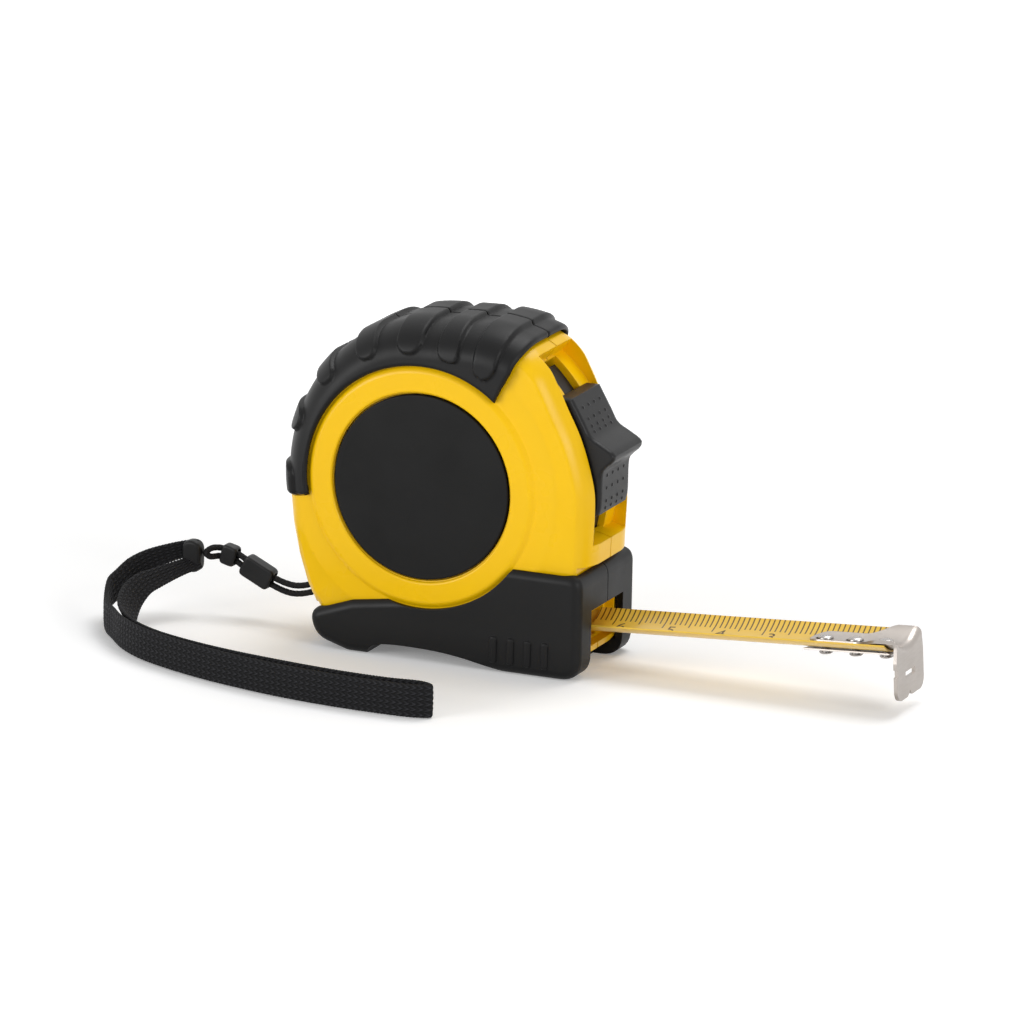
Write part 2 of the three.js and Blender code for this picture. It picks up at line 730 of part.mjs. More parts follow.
// The face hangs below the rim, with a grab slot, a notch in its foot and one in its side
function hookFace() {
  const side = hookWidth / 2;
  const top = nestRadius - tangPlate / 2;
  const reach = Math.asin(shoulderWidth / 2 / top);
  const tip = bladeCup - hookDrop;
  const notch = hookNotchWidth / 2;
  const sideNotch = bladeCup - hookSideNotchDrop;
  const face = new THREE.Shape();
  face.moveTo(-side, bladeCup);
  face.lineTo(-side, sideNotch + hookSideNotch);
  face.lineTo(-side + hookSideNotch, sideNotch + hookSideNotch / 2);
  face.lineTo(-side + hookSideNotch, sideNotch - hookSideNotch / 2);
  face.lineTo(-side, sideNotch - hookSideNotch);
  face.lineTo(-side, tip + hookCorner);
  face.quadraticCurveTo(-side, tip, -side + hookCorner, tip);
  face.lineTo(-hookCorner, tip + hookPlate / 4);
  face.lineTo(-notch, tip + hookNotchRise);
  face.lineTo(notch / 2, tip + hookPlate / 4);
  face.lineTo(side - hookCorner, tip);
  face.quadraticCurveTo(side, tip + hookPlate / 2, side, tip + hookCorner);
  face.lineTo(side, bladeCup);
  face.absarc(0, cupRadius, top, -Math.PI / 2 + reach, -Math.PI / 2 - reach, true);
  face.closePath();
  const slot = new THREE.Path();
  const slotZ = bladeCup - hookSlotDrop;
  slot.moveTo(-hookSlotWidth / 2, slotZ - hookSlotHeight / 2);
  slot.lineTo(hookSlotWidth / 2, slotZ - hookSlotHeight / 2);
  slot.lineTo(hookSlotWidth / 2, slotZ + hookSlotHeight / 2);
  slot.lineTo(-hookSlotWidth / 2, slotZ + hookSlotHeight / 2);
  face.holes.push(slot);
  return cupped(face, hookX, hookX + hookPlate, bladeBottomZ, 12);
}

// The face stands back a little where the blade's end comes up to it
function endHook() {
  const relief = box(hookX - overrun, hookX + hookRelief, -hookWidth, hookWidth,
    bladeRimZ - hookReliefDrop, bladeRimZ + overrun);
  return tilted(cut(join(hookTang(), cut(hookFace(), relief)),
    ...rivetHoles(rivetRadius + clearance, hookFloat)));
}

function rivet(index) {
  const x = rivetFirstX + rivetPitch * index;
  const headZ = bladeBottomZ + cupRadius - nestRadius + tangPlate + clearance;
  const tailZ = bladeBottomZ - 2 * bladeThickness - 2 * clearance;
  const profile = [
    point(0, tailZ - rivetHeadHeight / 2),
    point(rivetTailRadius, tailZ - rivetHeadHeight / 2),
    point(rivetTailRadius, tailZ),
    point(rivetRadius, tailZ),
    point(rivetRadius, headZ),
    point(rivetHeadRadius, headZ),
    point(rivetHeadRadius * 0.8, headZ + rivetHeadHeight * 0.7),
    point(0, headZ + rivetHeadHeight),
  ];
  return tilted(new THREE.LatheGeometry(profile, smallSides).rotateX(Math.PI / 2)
    .translate(x, 0, 0));
}

// Spool, spring and post
function spool() {
  const profile = [
    point(drumRadius, -flangeInnerY),
    point(drumRadius, flangeInnerY),
    point(flangeRadius, flangeInnerY),
    point(flangeRadius, flangeInnerY + flangeThickness),
    point(postRadius + clearance, flangeInnerY + flangeThickness),
    point(postRadius + clearance, flangeInnerY),
    point(drumRadius - drumWall, flangeInnerY),
    point(drumRadius - drumWall, -flangeInnerY),
  ];
  return turned(profile);
}

function spoolCover() {
  const farY = -flangeInnerY - clearance;
  const profile = [
    point(flangeRadius, farY - flangeThickness),
    point(flangeRadius, farY),
    point(postRadius + clearance, farY),
    point(postRadius + clearance, farY - flangeThickness),
  ];
  return turned(profile);
}

function spoolPost() {
  return across(postRadius, -cavityHalfWidth + 2 * clearance, cavityHalfWidth - 2 * clearance,
    0, axisHeight, smallSides);
}

function woundBlade() {
  return turned([
    point(woundOuterRadius, -bladeHalf),
    point(woundOuterRadius, bladeHalf),
    point(drumRadius + clearance, bladeHalf),
    point(drumRadius + clearance, -bladeHalf),
  ]);
}

function powerSpring() {
  const outerRadius = drumRadius - drumWall - clearance - springThickness;
  const steps = springTurns * springStepsPerTurn;
  const inner = [];
  const outer = [];
  for (let step = 0; step <= steps; step += 1) {
    const along = step / steps;
    const radius = springInnerRadius + (outerRadius - springInnerRadius) * along;
    const degrees = 360 * springTurns * along;
    inner.push(polar(radius, degrees));
    outer.push(polar(radius + springThickness, degrees));
  }
  return slab(new THREE.Shape([...inner, ...outer.reverse()]), -springHalfWidth,
    springHalfWidth);
}

// Lock
function lockButton() {
  const shape = new THREE.Shape();
  const seat = recessRadius + clearance;
  shape.setFromPoints(buttonShares.map(([rise, angle]) => polar(seat + buttonRise * rise,
    buttonHighAngle * angle)));
  shape.absarc(0, axisHeight, seat, THREE.MathUtils.degToRad(buttonHighAngle),
    THREE.MathUtils.degToRad(buttonLowAngle), true);
  shape.closePath();
  return roundedSlab(shape, buttonHalfWidth, buttonRound / 2, buttonRound, 0, 2, 9);
}

function lockStrip() {
  return slab(arcShape(stripInnerRadius, stripInnerRadius + stripThickness, stripLowAngle,
    stripHighAngle), -stripHalfWidth, stripHalfWidth, 18);
}

function lockStem() {
  const low = (recessLowAngle + recessHighAngle) / 3;
  return slab(arcShape(stripInnerRadius + stripThickness + clearance, recessRadius,
    0, low), -stripHalfWidth, stripHalfWidth, 6);
}

function brakePad() {
  return slab(arcShape(stripInnerRadius - padExtra, stripInnerRadius + stripThickness,
    padLowAngle, stripLowAngle - padGapAngle), -stripHalfWidth, stripHalfWidth, 6);
}

// Strap
function strapPin() {
  return across(pinRadius, -pinHalfLength, pinHalfLength, pinX, pinZ, smallSides);
}

// A cord's route keeps the points that were chosen for it
const ferruleEnds = [[-35.7, 0, 7.6], [-41.9, 0, 10.6]];
const clipEnds = [[-43.1, 0, 11.3], [-46.4, 0, 12.1]];
const strandUp = [
  [-24.2, 0, 10.1], [-27.6, 0, 8.2], [-31.2, 0, 7.4], [-35.4, 0, 8.3], [-41.6, 0, 11.3],
  [-43, 0, 12], [-46.2, 0, 12.8], [-48, -1.4, 12.9], [-48.7, -2.4, 12.1],
];
const strandDown = [
  [-48.1, -1.9, 11.4], [-46.6, 0, 11.2], [-43.3, 0, 10.5], [-42.2, 0, 9.9], [-36, 0, 6.9],
  [-31.8, 0, 5.8], [-27.9, 0, 6.5], [-24.6, 0, 8.3],
];
const bandRoute = [
  [-50, -2.3, 13], [-52.2, -2.2, 12.6], [-56, -3, 11.4], [-59.6, -4.8, 9.9], [-61.8, -7, 8.4],
  [-63.1, -10, 6.5], [-63.7, -13, 5], [-62.2, -17.5, 3.9], [-59.6, -22.5, 3.4],
  [-56.5, -26.1, 3.3], [-52.3, -30.9, 3.3], [-46.5, -35.5, 3.3], [-39.1, -39.2, 3.3],
  [-30.2, -42.5, 3.3], [-22.2, -44.7, 3.3], [-12.6, -46.7, 3.3], [-1.4, -47.9, 3.3],
  [8.8, -48.1, 3.3], [15, -47.6, 3.3], [17.8, -46.2, 3.3], [15.6, -44.9, 3.3], [8.7, -45.5, 3.3],
  [-0.9, -45.4, 3.3], [-11, -44.4, 3.3], [-22, -42.6, 3.3], [-33, -39.4, 3.3],
  [-43.2, -34.7, 3.3], [-50, -29.6, 3.5], [-54.6, -24.2, 4.4], [-56.8, -17.5, 6.3],
  [-56.5, -13.5, 7.7], [-55.1, -10, 8.4], [-52.8, -6, 9.4], [-51.2, -4.2, 10], [-49.7, -3, 10.5],
];

function route(points) {
  return new THREE.CatmullRomCurve3(points.map(([x, y, z]) => new THREE.Vector3(x, y, z)),
    false, 'centripetal');
}

function strapCord() {
  const section = new THREE.Shape().absarc(0, 0, cordRadius, 0, 2 * Math.PI);
  return new THREE.ExtrudeGeometry(section, {
    steps: 40, bevelEnabled: false, extrudePath: route([...strandUp, ...strandDown]),
    curveSegments: 4,
  });
}

// The band stands on its edge on the floor. Its far end leans over, and it is gathered at both
// ends, which lie one above the other at the cord
function bandAcross(along, tangent) {
  const inward = new THREE.Vector3(0, 0, 1).cross(tangent).normalize();
  const share = Math.max(0, 1 - (1 - along) / bandLeanShare);
  const lean = THREE.MathUtils.degToRad(bandLean * share);
  return new THREE.Vector3(0, 0, Math.cos(lean)).addScaledVector(inward, Math.sin(lean))
    .projectOnPlane(tangent).normalize();
}

function strapBand() {
  const curve = route(bandRoute);
  const positions = [];
  const indices = [];
  for (let step = 0; step <= bandSteps; step += 1) {
    const along = step / bandSteps;
    const middle = curve.getPointAt(along);
    const tangent = curve.getTangentAt(along);
    const width = bandAcross(along, tangent);
    const depth = tangent.cross(width).normalize();
    const taper = Math.min(1, Math.min(along, 1 - along) / bandTaperShare);
    const half = THREE.MathUtils.lerp(bandEndWidth, bandWidth, taper) / 2;
    [[1, -1], [1, 1], [-1, 1], [-1, -1]].forEach(([side, height]) => {
      const corner = middle.clone().addScaledVector(depth, side * bandThickness / 2)
        .addScaledVector(width, height * half);
      positions.push(corner.x, corner.y, corner.z);
    });
    if (step === 0) continue;
    const ring = 4 * step;
    for (let corner = 0; corner < 4; corner += 1) {
      const next = (corner + 1) % 4;
      indices.push(ring - 4 + corner, ring + corner, ring + next);
      indices.push(ring - 4 + corner, ring + next, ring - 4 + next);
    }
  }
  const last = 4 * bandSteps;
  indices.push(0, 1, 2, 0, 2, 3, last, last + 2, last + 1, last, last + 3, last + 2);
  const geometry = new THREE.BufferGeometry();
  geometry.setAttribute('position', new THREE.Float32BufferAttribute(positions, 3));
  geometry.setIndex(indices);
  return geometry;
}

// A sleeve on the two strands, with one long bore for both
function sleeve(ends, length, height, width) {
  const [start, end] = ends.map((place) => new THREE.Vector3(...place));
  const middle = start.clone().add(end).divideScalar(2);
  const slope = Math.atan2(end.z - start.z, start.x - end.x);
  const outline = new THREE.Shape();
  const corner = height / 4;
  const halfLength = length / 2;
  const halfHeight = height / 2;
  outline.moveTo(-halfLength + corner, -halfHeight);
  outline.lineTo(halfLength - corner, -halfHeight);
  outline.quadraticCurveTo(halfLength, -halfHeight, halfLength, -halfHeight + corner);
  outline.lineTo(halfLength, halfHeight - corner);
  outline.quadraticCurveTo(halfLength, halfHeight, halfLength - corner, halfHeight);
  outline.lineTo(-halfLength + corner, halfHeight);
  outline.quadraticCurveTo(-halfLength, halfHeight, -halfLength, halfHeight - corner);
  outline.lineTo(-halfLength, -halfHeight + corner);
  outline.quadraticCurveTo(-halfLength, -halfHeight, -halfLength + corner, -halfHeight);
  const block = slab(outline, -width / 2, width / 2, 4);
  const bore = new THREE.Shape();
  bore.absarc(0, strandPitch / 2, cordRadius + clearance, 0, Math.PI, false);
  bore.absarc(0, -strandPitch / 2, cordRadius + clearance, Math.PI, 2 * Math.PI, false);
  bore.closePath();
  return cut(block, cupped(bore, -length, length, 0, 6)).rotateY(slope)
    .translate(middle.x, middle.y, middle.z);
}

// Assembly
const tape = new THREE.Group();
tape.position.x = -originX;

function add(name, geometry, material) {
  const mesh = new THREE.Mesh(geometry, material);
  mesh.name = name;
  tape.add(mesh);
}

for (const [name, side] of [['near', -1], ['far', 1]]) {
  add(`casing_${name}`, casing(side), finishes.yellow);
  add(`side_disc_${name}`, sideDisc(side), finishes.disc);
  add(`top_grip_${name}`, topGrip(side), finishes.rubber);
  add(`base_grip_${name}`, baseGrip(side), finishes.rubber);
}
for (let index = 0; index < screwCount; index += 1) {
  add(`case_screw_${index + 1}`, caseScrew(index), finishes.steel);
}
add('spool', spool(), finishes.spool);
add('spool_cover', spoolCover(), finishes.spool);
add('spool_post', spoolPost(), finishes.steel);
add('power_spring', powerSpring(), finishes.spring);
add('wound_blade', woundBlade(), finishes.blade);
add('blade', blade(), finishes.blade);
add('blade_lead', bladeLead(), finishes.blade);
add('hook_backing_plate', backingPlate(), finishes.steel);
add('end_hook', endHook(), finishes.steel);
for (let index = 0; index < rivetCount; index += 1) {
  add(`hook_rivet_${index + 1}`, rivet(index), finishes.steel);
}
add('lock_button', lockButton(), finishes.black);
add('lock_strip', lockStrip(), finishes.black);
add('lock_stem', lockStem(), finishes.black);
add('brake_pad', brakePad(), finishes.rubber);
add('strap_pin', strapPin(), finishes.steel);
add('strap_cord', strapCord(), finishes.strap);
add('strap_ferrule', sleeve(ferruleEnds, ferruleLength, ferruleHeight, ferruleWidth),
  finishes.black);
add('strap_clip', sleeve(clipEnds, clipLength, clipHeight, clipWidth), finishes.black);
add('strap_band', strapBand(), finishes.strap);

export default tape;
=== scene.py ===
"""Looks of a retractable pocket tape measure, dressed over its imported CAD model.

Lengths are in millimetres in the tape's own frame: X runs from the spool's axis along the blade,
Z is up from the floor, and -Y is the side that the camera sees. A finished piece is scaled to
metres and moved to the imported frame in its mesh.
"""

from __future__ import annotations

import logging
import math
from bisect import bisect_left
from dataclasses import dataclass
from enum import Enum
from typing import Callable, Iterable, Sequence

import bmesh
import bpy
from mathutils import Matrix, Vector

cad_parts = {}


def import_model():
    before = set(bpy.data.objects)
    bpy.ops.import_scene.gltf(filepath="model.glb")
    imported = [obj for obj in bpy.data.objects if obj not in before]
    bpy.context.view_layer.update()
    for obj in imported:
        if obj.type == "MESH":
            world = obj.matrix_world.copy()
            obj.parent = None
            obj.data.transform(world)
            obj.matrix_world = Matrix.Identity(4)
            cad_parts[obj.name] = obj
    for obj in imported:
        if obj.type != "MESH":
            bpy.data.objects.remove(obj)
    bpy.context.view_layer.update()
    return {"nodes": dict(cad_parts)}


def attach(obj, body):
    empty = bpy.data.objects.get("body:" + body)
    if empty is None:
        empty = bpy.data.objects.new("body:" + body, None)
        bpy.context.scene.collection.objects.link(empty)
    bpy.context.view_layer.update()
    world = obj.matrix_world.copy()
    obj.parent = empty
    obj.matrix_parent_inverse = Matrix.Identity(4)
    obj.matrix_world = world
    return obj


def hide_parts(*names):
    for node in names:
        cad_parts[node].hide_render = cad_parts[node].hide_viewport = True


LOG = logging.getLogger("tape")

MM = 0.001
AXIS_HEIGHT = 33.3
ORIGIN_X = 31.824
PARTING = 0.15
ACROSS = -2.0
THROUGH = 30.0
AHEAD = 40.0
RING_STEPS = 192
SIDES = (("near", -1), ("far", 1))
BLADE_SLOPE = 3.6
BLADE_MOUTH = (33.3, 0.0, 9.4)
WHITE = (1.0, 1.0, 1.0, 1.0)
NOISE_RANGE = (0.3, 0.7)

Point = tuple[float, float]
Spot = tuple[float, float, float]
Solid = bmesh.types.BMesh
Object = bpy.types.Object
Material = bpy.types.Material
Tree = bpy.types.NodeTree
Socket = bpy.types.NodeSocket


# Outlines

def polar(radius: float, degrees: float) -> Point:
    """Gives a point at an angle round the spool's axis.

    Args:
        radius: Distance from the axis.
        degrees: Angle from +X towards +Z.

    Returns:
        The point's X and Z.
    """
    angle = math.radians(degrees)
    return radius * math.cos(angle), AXIS_HEIGHT + radius * math.sin(angle)


def spline(points: Sequence[Point], steps: int) -> list[Point]:
    """Runs a smooth curve through points.

    Args:
        points: The points that the curve passes.
        steps: Steps in each span.

    Returns:
        The curve's points, the last one included.
    """
    ends = [points[0], *points, points[-1]]
    curve: list[Point] = []
    for index in range(len(points) - 1):
        a, b, c, d = (Vector(p) for p in ends[index:index + 4])
        for step in range(steps):
            t = step / steps
            p = 0.5 * (2 * b + (c - a) * t + (2 * a - 5 * b + 4 * c - d) * t * t
                       + (3 * b - a - 3 * c + d) * t ** 3)
            curve.append((p.x, p.y))
    return [*curve, points[-1]]


def eased(share: float) -> float:
    """Gives a share, held between 0 and 1, a soft start and end."""
    share = min(1.0, max(0.0, share))
    return share * share * (3 - 2 * share)


def rounded(corners: Sequence[Spot], steps: int = 6) -> list[Point]:
    """Rounds the corners of a closed outline.

    Args:
        corners: Each corner's two coordinates and its radius.
        steps: Steps in each round.

    Returns:
        The outline's points.
    """
    outline: list[Point] = []
    count = len(corners)
    for index, (x, z, radius) in enumerate(corners):
        here = Vector((x, z))
        back = Vector(corners[index - 1][:2]) - here
        ahead = Vector(corners[(index + 1) % count][:2]) - here
        if radius <= 0:
            outline.append((x, z))
            continue
        half = back.angle(ahead) / 2
        reach = min(radius / math.tan(half), back.length * 0.49, ahead.length * 0.49)
        start, end = here + back.normalized() * reach, here + ahead.normalized() * reach
        for step in range(steps + 1):
            t = step / steps
            p = start * (1 - t) ** 2 + here * (2 * t * (1 - t)) + end * t * t
            outline.append((p.x, p.y))
    return outline


def oblong(x: float, z: float, wide: float, high: float, radius: float,
           steps: int = 6) -> list[Point]:
    """Outlines an upright rectangle with round corners.

    Args:
        x: X of its middle.
        z: Z of its middle.
        wide: Its size along X.
        high: Its size along Z.
        radius: The radius of its corners.
        steps: Steps in each round.

    Returns:
        The outline's points.
    """
    return rounded([(x + side * wide / 2, z + end * high / 2, radius)
                    for side, end in ((-1, -1), (1, -1), (1, 1), (-1, 1))], steps)


def arc_band(inner: float, outer: float, low: float, high: float, steps: int) -> list[Point]:
    """Outlines a band round the spool's axis.

    Args:
        inner: Inner radius.
        outer: Outer radius.
        low: First angle in degrees.
        high: Last angle in degrees.
        steps: Steps along each arc.

    Returns:
        The outline's points.
    """
    turn = [low + (high - low) * k / steps for k in range(steps + 1)]
    return [polar(outer, a) for a in turn] + [polar(inner, a) for a in reversed(turn)]


def grown(outline: Sequence[Point], distance: float) -> list[Point]:
    """Moves a closed outline outwards.

    Args:
        outline: The points, in either sense.
        distance: How far each side moves.

    Returns:
        The moved points.
    """
    count = len(outline)
    area = sum(outline[k - 1][0] * outline[k][1] - outline[k][0] * outline[k - 1][1]
               for k in range(count))
    sense = 1 if area > 0 else -1
    result: list[Point] = []
    for k in range(count):
        here = Vector(outline[k])
        back = (here - Vector(outline[k - 1])).normalized()
        ahead = (Vector(outline[(k + 1) % count]) - here).normalized()
        normals = [Vector((d.y, -d.x)) * sense for d in (back, ahead)]
        middle = (normals[0] + normals[1]).normalized()
        result.append(tuple(here + middle * distance / max(0.4, middle.dot(normals[0]))))
    return result


def thinned(outline: Sequence[Point], gap: float) -> list[Point]:
    """Drops the points of an outline that stand closer than a gap to the one before.

    Args:
        outline: The points.
        gap: The least distance between two points.

    Returns:
        The points that stay.
    """
    kept = [outline[0]]
    for point in outline[1:]:
        if math.dist(point, kept[-1]) >= gap:
            kept.append(point)
    return kept


# Solids in millimetres

def prism(outline: Sequence[Point], low: float, high: float) -> Solid:
    """Extrudes an outline in X and Z along Y.

    Args:
        outline: The closed outline.
        low: Y of the first face.
        high: Y of the last face.

    Returns:
        The closed solid.
    """
    solid = bmesh.new()
    face = solid.faces.new([solid.verts.new((x, low, z)) for x, z in outline])
    made = bmesh.ops.extrude_face_region(solid, geom=[face], use_keep_orig=True)["geom"]
    ends = [v for v in made if isinstance(v, bmesh.types.BMVert)]
    bmesh.ops.translate(solid, vec=(0, high - low, 0), verts=ends)
    bmesh.ops.recalc_face_normals(solid, faces=solid.faces[:])
    return solid


def crowned(outline: Sequence[Point], low: float, plain: float, crown: Point,
            steps: int = 10) -> Solid:
    """Extrudes an outline along +Y and rounds its far edge to a quarter ellipse.

    Args:
        outline: The closed outline.
        low: Y of the flat start.
        plain: Y where the round starts.
        crown: How far the round draws in, and how far it reaches along Y.
        steps: Steps in the round.

    Returns:
        The closed solid.
    """
    solid = prism(outline, low, plain)
    cap = max(solid.faces, key=lambda f: f.calc_center_median().y)
    angles = [math.pi / 2 * k / steps for k in range(steps + 1)]
    for a, b in zip(angles, angles[1:]):
        bmesh.ops.inset_region(solid, faces=[cap], use_even_offset=True,
                               thickness=crown[0] * (math.cos(a) - math.cos(b)),
                               depth=crown[1] * (math.sin(b) - math.sin(a)))
    return solid


def turned(profile: Sequence[Point], steps: int, closed: bool = True) -> Solid:
    """Turns a profile round Z.

    Args:
        profile: Radius and height of each point.
        steps: Steps in the full turn.
        closed: Whether the profile is a ring, or runs from the axis to the axis.

    Returns:
        The closed solid at the origin.
    """
    solid = bmesh.new()
    verts = [solid.verts.new((radius, 0, height)) for radius, height in profile]
    edges = [solid.edges.new(pair) for pair in zip(verts, verts[1:])]
    if closed:
        edges.append(solid.edges.new((verts[-1], verts[0])))
    bmesh.ops.spin(solid, geom=verts + edges, cent=(0, 0, 0), axis=(0, 0, 1), dvec=(0, 0, 0),
                   angle=math.tau, steps=steps, use_merge=True, use_duplicate=False)
    bmesh.ops.remove_doubles(solid, verts=solid.verts[:], dist=1e-4)
    bmesh.ops.recalc_face_normals(solid, faces=solid.faces[:])
    return solid


def moved(solid: Solid, x: float, y: float, z: float) -> Solid:
    """Moves a solid and gives it back."""
    bmesh.ops.translate(solid, vec=(x, y, z), verts=solid.verts)
    return solid


def swung(solid: Solid, angle: float, axis: str, centre: Spot = (0, 0, 0)) -> Solid:
    """Turns a solid by an angle in radians and gives it back."""
    bmesh.ops.rotate(solid, cent=centre, matrix=Matrix.Rotation(angle, 3, axis),
                     verts=solid.verts)
    return solid


def laid_across(solid: Solid, x: float = 0.0, z: float = AXIS_HEIGHT) -> Solid:
    """Lays a turned solid's axis along +Y, through X and Z."""
    return moved(swung(solid, -math.pi / 2, "X"), x, 0, z)


def bar(radius: float, length: float, steps: int) -> Solid:
    """Makes a round bar along Z, with its middle at the origin.

    Args:
        radius: The bar's radius.
        length: Its length.
        steps: Its sides.

    Returns:
        The closed solid.
    """
    solid = bmesh.new()
    bmesh.ops.create_cone(solid, cap_ends=True, segments=steps, radius1=radius,
                          radius2=radius, depth=length)
    return solid


def rod(radius: float, low: float, high: float, x: float = 0.0, z: float = AXIS_HEIGHT,
        steps: int = 48) -> Solid:
    """Makes a round bar along Y.

    Args:
        radius: The bar's radius.
        low: Y of one end.
        high: Y of the other end.
        x: X of its axis.
        z: Z of its axis.
        steps: Sides of the bar.

    Returns:
        The closed solid.
    """
    return moved(laid_across(bar(radius, high - low, steps), x, z), 0, (low + high) / 2, 0)


def block(low: Sequence[float], high: Sequence[float]) -> Solid:
    """Makes a plain block, used only to cut with, between two corners.

    Args:
        low: Its lowest corner.
        high: Its highest corner.

    Returns:
        The closed solid.
    """
    solid = bmesh.new()
    bmesh.ops.create_cube(solid, size=1)
    bmesh.ops.scale(solid, vec=[b - a for a, b in zip(low, high)], verts=solid.verts)
    return moved(solid, *((a + b) / 2 for a, b in zip(low, high)))


def wrapped(along: int, across: int, place: Callable[[float, float], Vector],
            lay: Callable[[float, float], Point] | None = None) -> Solid:
    """Wraps a grid onto a surface.

    Args:
        along: Steps along the surface.
        across: Steps across it.
        place: Gives the point for the two shares from 0 to 1.
        lay: Gives the UV for the two shares, where a pattern follows the surface.

    Returns:
        The open sheet.
    """
    sheet = bmesh.new()
    bmesh.ops.create_grid(sheet, x_segments=along, y_segments=across, size=1)
    shares = {v: ((v.co.x + 1) / 2, (v.co.y + 1) / 2) for v in sheet.verts}
    if lay:
        layer = sheet.loops.layers.uv.new("lay")
        for face in sheet.faces:
            for loop in face.loops:
                loop[layer].uv = lay(*shares[loop.vert])
    for vert, share in shares.items():
        vert.co = place(*share)
    return sheet


def placed(name: str, data: bpy.types.ID) -> Object:
    """Puts a new object with its data into the scene.

    Args:
        name: The object's name.
        data: Its mesh, curve, lamp or camera.

    Returns:
        The object.
    """
    made = bpy.data.objects.new(name, data)
    bpy.context.scene.collection.objects.link(made)
    return made


def meshed(name: str, solid: Solid) -> Object:
    """Turns a solid to an object in the scene, and frees the solid.

    Args:
        name: The object's name.
        solid: The solid, which is used up.

    Returns:
        The object.
    """
    mesh = bpy.data.meshes.new(name)
    solid.to_mesh(mesh)
    solid.free()
    return placed(name, mesh)


def shown(holder: Object) -> Object:
    """Gives an object as its modifiers leave it."""
    bpy.context.view_layer.update()
    return holder.evaluated_get(bpy.context.evaluated_depsgraph_get())


def settled(holder: Object, *helpers: Object) -> Solid:
    """Takes the mesh with its modifiers applied, and removes the scratch objects.

    Args:
        holder: The object with the modifiers.
        helpers: The objects that they used.

    Returns:
        The mesh as the modifiers leave it.
    """
    evaluated = shown(holder)
    solid = bmesh.new()
    solid.from_mesh(evaluated.to_mesh())
    evaluated.to_mesh_clear()
    for used in (holder, *helpers):
        mesh = used.data
        bpy.data.objects.remove(used)
        bpy.data.meshes.remove(mesh)
    return solid


class Operation(Enum):
    """What a solid does with another one."""

    JOIN = "UNION"
    CUT = "DIFFERENCE"
    MEET = "INTERSECT"


def worked(solid: Solid, operation: Operation, *tools: Solid) -> Solid:
    """Joins, cuts or meets a solid with others.

    Args:
        solid: The solid that stays.
        operation: What is done.
        tools: The solids that it is done with, which are used up.

    Returns:
        The new solid.
    """
    holder = meshed("scratch", solid)
    helpers = [meshed("scratch", tool) for tool in tools]
    for helper in helpers:
        step = holder.modifiers.new("step", "BOOLEAN")
        step.object, step.operation, step.solver = helper, operation.value, "MANIFOLD"
    return settled(holder, *helpers)


def walled(sheet: Solid, thickness: float, below: int = 0) -> Solid:
    """Gives a sheet its thickness on the side away from its normals.

    Args:
        sheet: The open sheet.
        thickness: The wall.
        below: Material slots that the new faces are moved on by.

    Returns:
        The closed solid.
    """
    holder = meshed("scratch", sheet)
    wall = holder.modifiers.new("wall", "SOLIDIFY")
    wall.thickness, wall.offset = thickness, -1
    wall.material_offset = wall.material_offset_rim = below
    return settled(holder)


def facing(sheet: Solid, outward: Callable[[Vector], Vector]) -> Solid:
    """Turns a sheet's faces so that they look outwards, judged at one face.

    Args:
        sheet: The open sheet.
        outward: Gives the outward direction at a point.

    Returns:
        The same sheet.
    """
    sheet.normal_update()
    sheet.faces.ensure_lookup_table()
    probe = sheet.faces[len(sheet.faces) // 2]
    if probe.normal.dot(outward(probe.calc_center_median())) < 0:
        bmesh.ops.reverse_faces(sheet, faces=sheet.faces[:])
    return sheet


def mirrored(solid: Solid, side: int) -> Solid:
    """Leaves a solid on +Y for side 1, and moves its mirror image to -Y for side -1.

    Args:
        solid: The solid.
        side: 1 or -1.

    Returns:
        The same solid.
    """
    if side < 0:
        bmesh.ops.scale(solid, vec=(1, -1, 1), verts=solid.verts)
        bmesh.ops.reverse_faces(solid, faces=solid.faces[:])
    return solid


def pillow(outline: Sequence[Point], half: float, crown: Point, steps: int) -> Solid:
    """Extrudes an outline to both sides of Y = 0 and rounds both its edges.

    Args:
        outline: The closed outline.
        half: How far it reaches to each side.
        crown: How far the round draws in, and how far it reaches along Y.
        steps: Steps in the round.

    Returns:
        The closed solid.
    """
    overlap = 0.01
    halves = [mirrored(crowned(outline, -overlap, half - crown[1], crown, steps), side)
              for side in (1, -1)]
    return worked(halves[0], Operation.JOIN, halves[1])


# Pieces

@dataclass(frozen=True)
class Piece:
    """A finished piece: its name, the body that it rides on and what it stands for."""

    name: str
    body: str
    slot: str
    replaces: tuple[str, ...] = ()
    crease: float = 34.0

    def make(self, solid: Solid, *materials: Material, weighted: bool = True) -> Object:
        """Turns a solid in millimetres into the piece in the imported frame.

        Args:
            solid: The closed solid, which is used up.
            materials: Its materials, in the order of its slots.
            weighted: Whether large flat faces keep their own normals.

        Returns:
            The piece's object, at the origin.
        """
        bmesh.ops.scale(solid, vec=(MM, MM, MM), verts=solid.verts)
        moved(solid, -ORIGIN_X * MM, 0, 0)
        limit = math.radians(self.crease)
        for face in solid.faces:
            face.smooth = True
        for edge in solid.edges:
            edge.smooth = len(edge.link_faces) == 2 and edge.calc_face_angle(0) < limit
        made = meshed(self.name, solid)
        for material in materials:
            made.data.materials.append(material)
        if weighted:
            normals = made.modifiers.new("normals", "WEIGHTED_NORMAL")
            normals.keep_sharp = True
        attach(made, self.body)
        if self.replaces:
            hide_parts(*self.replaces)
        LOG.info("%s: %d faces", self.name, len(made.data.polygons))
        return made


# Finishes

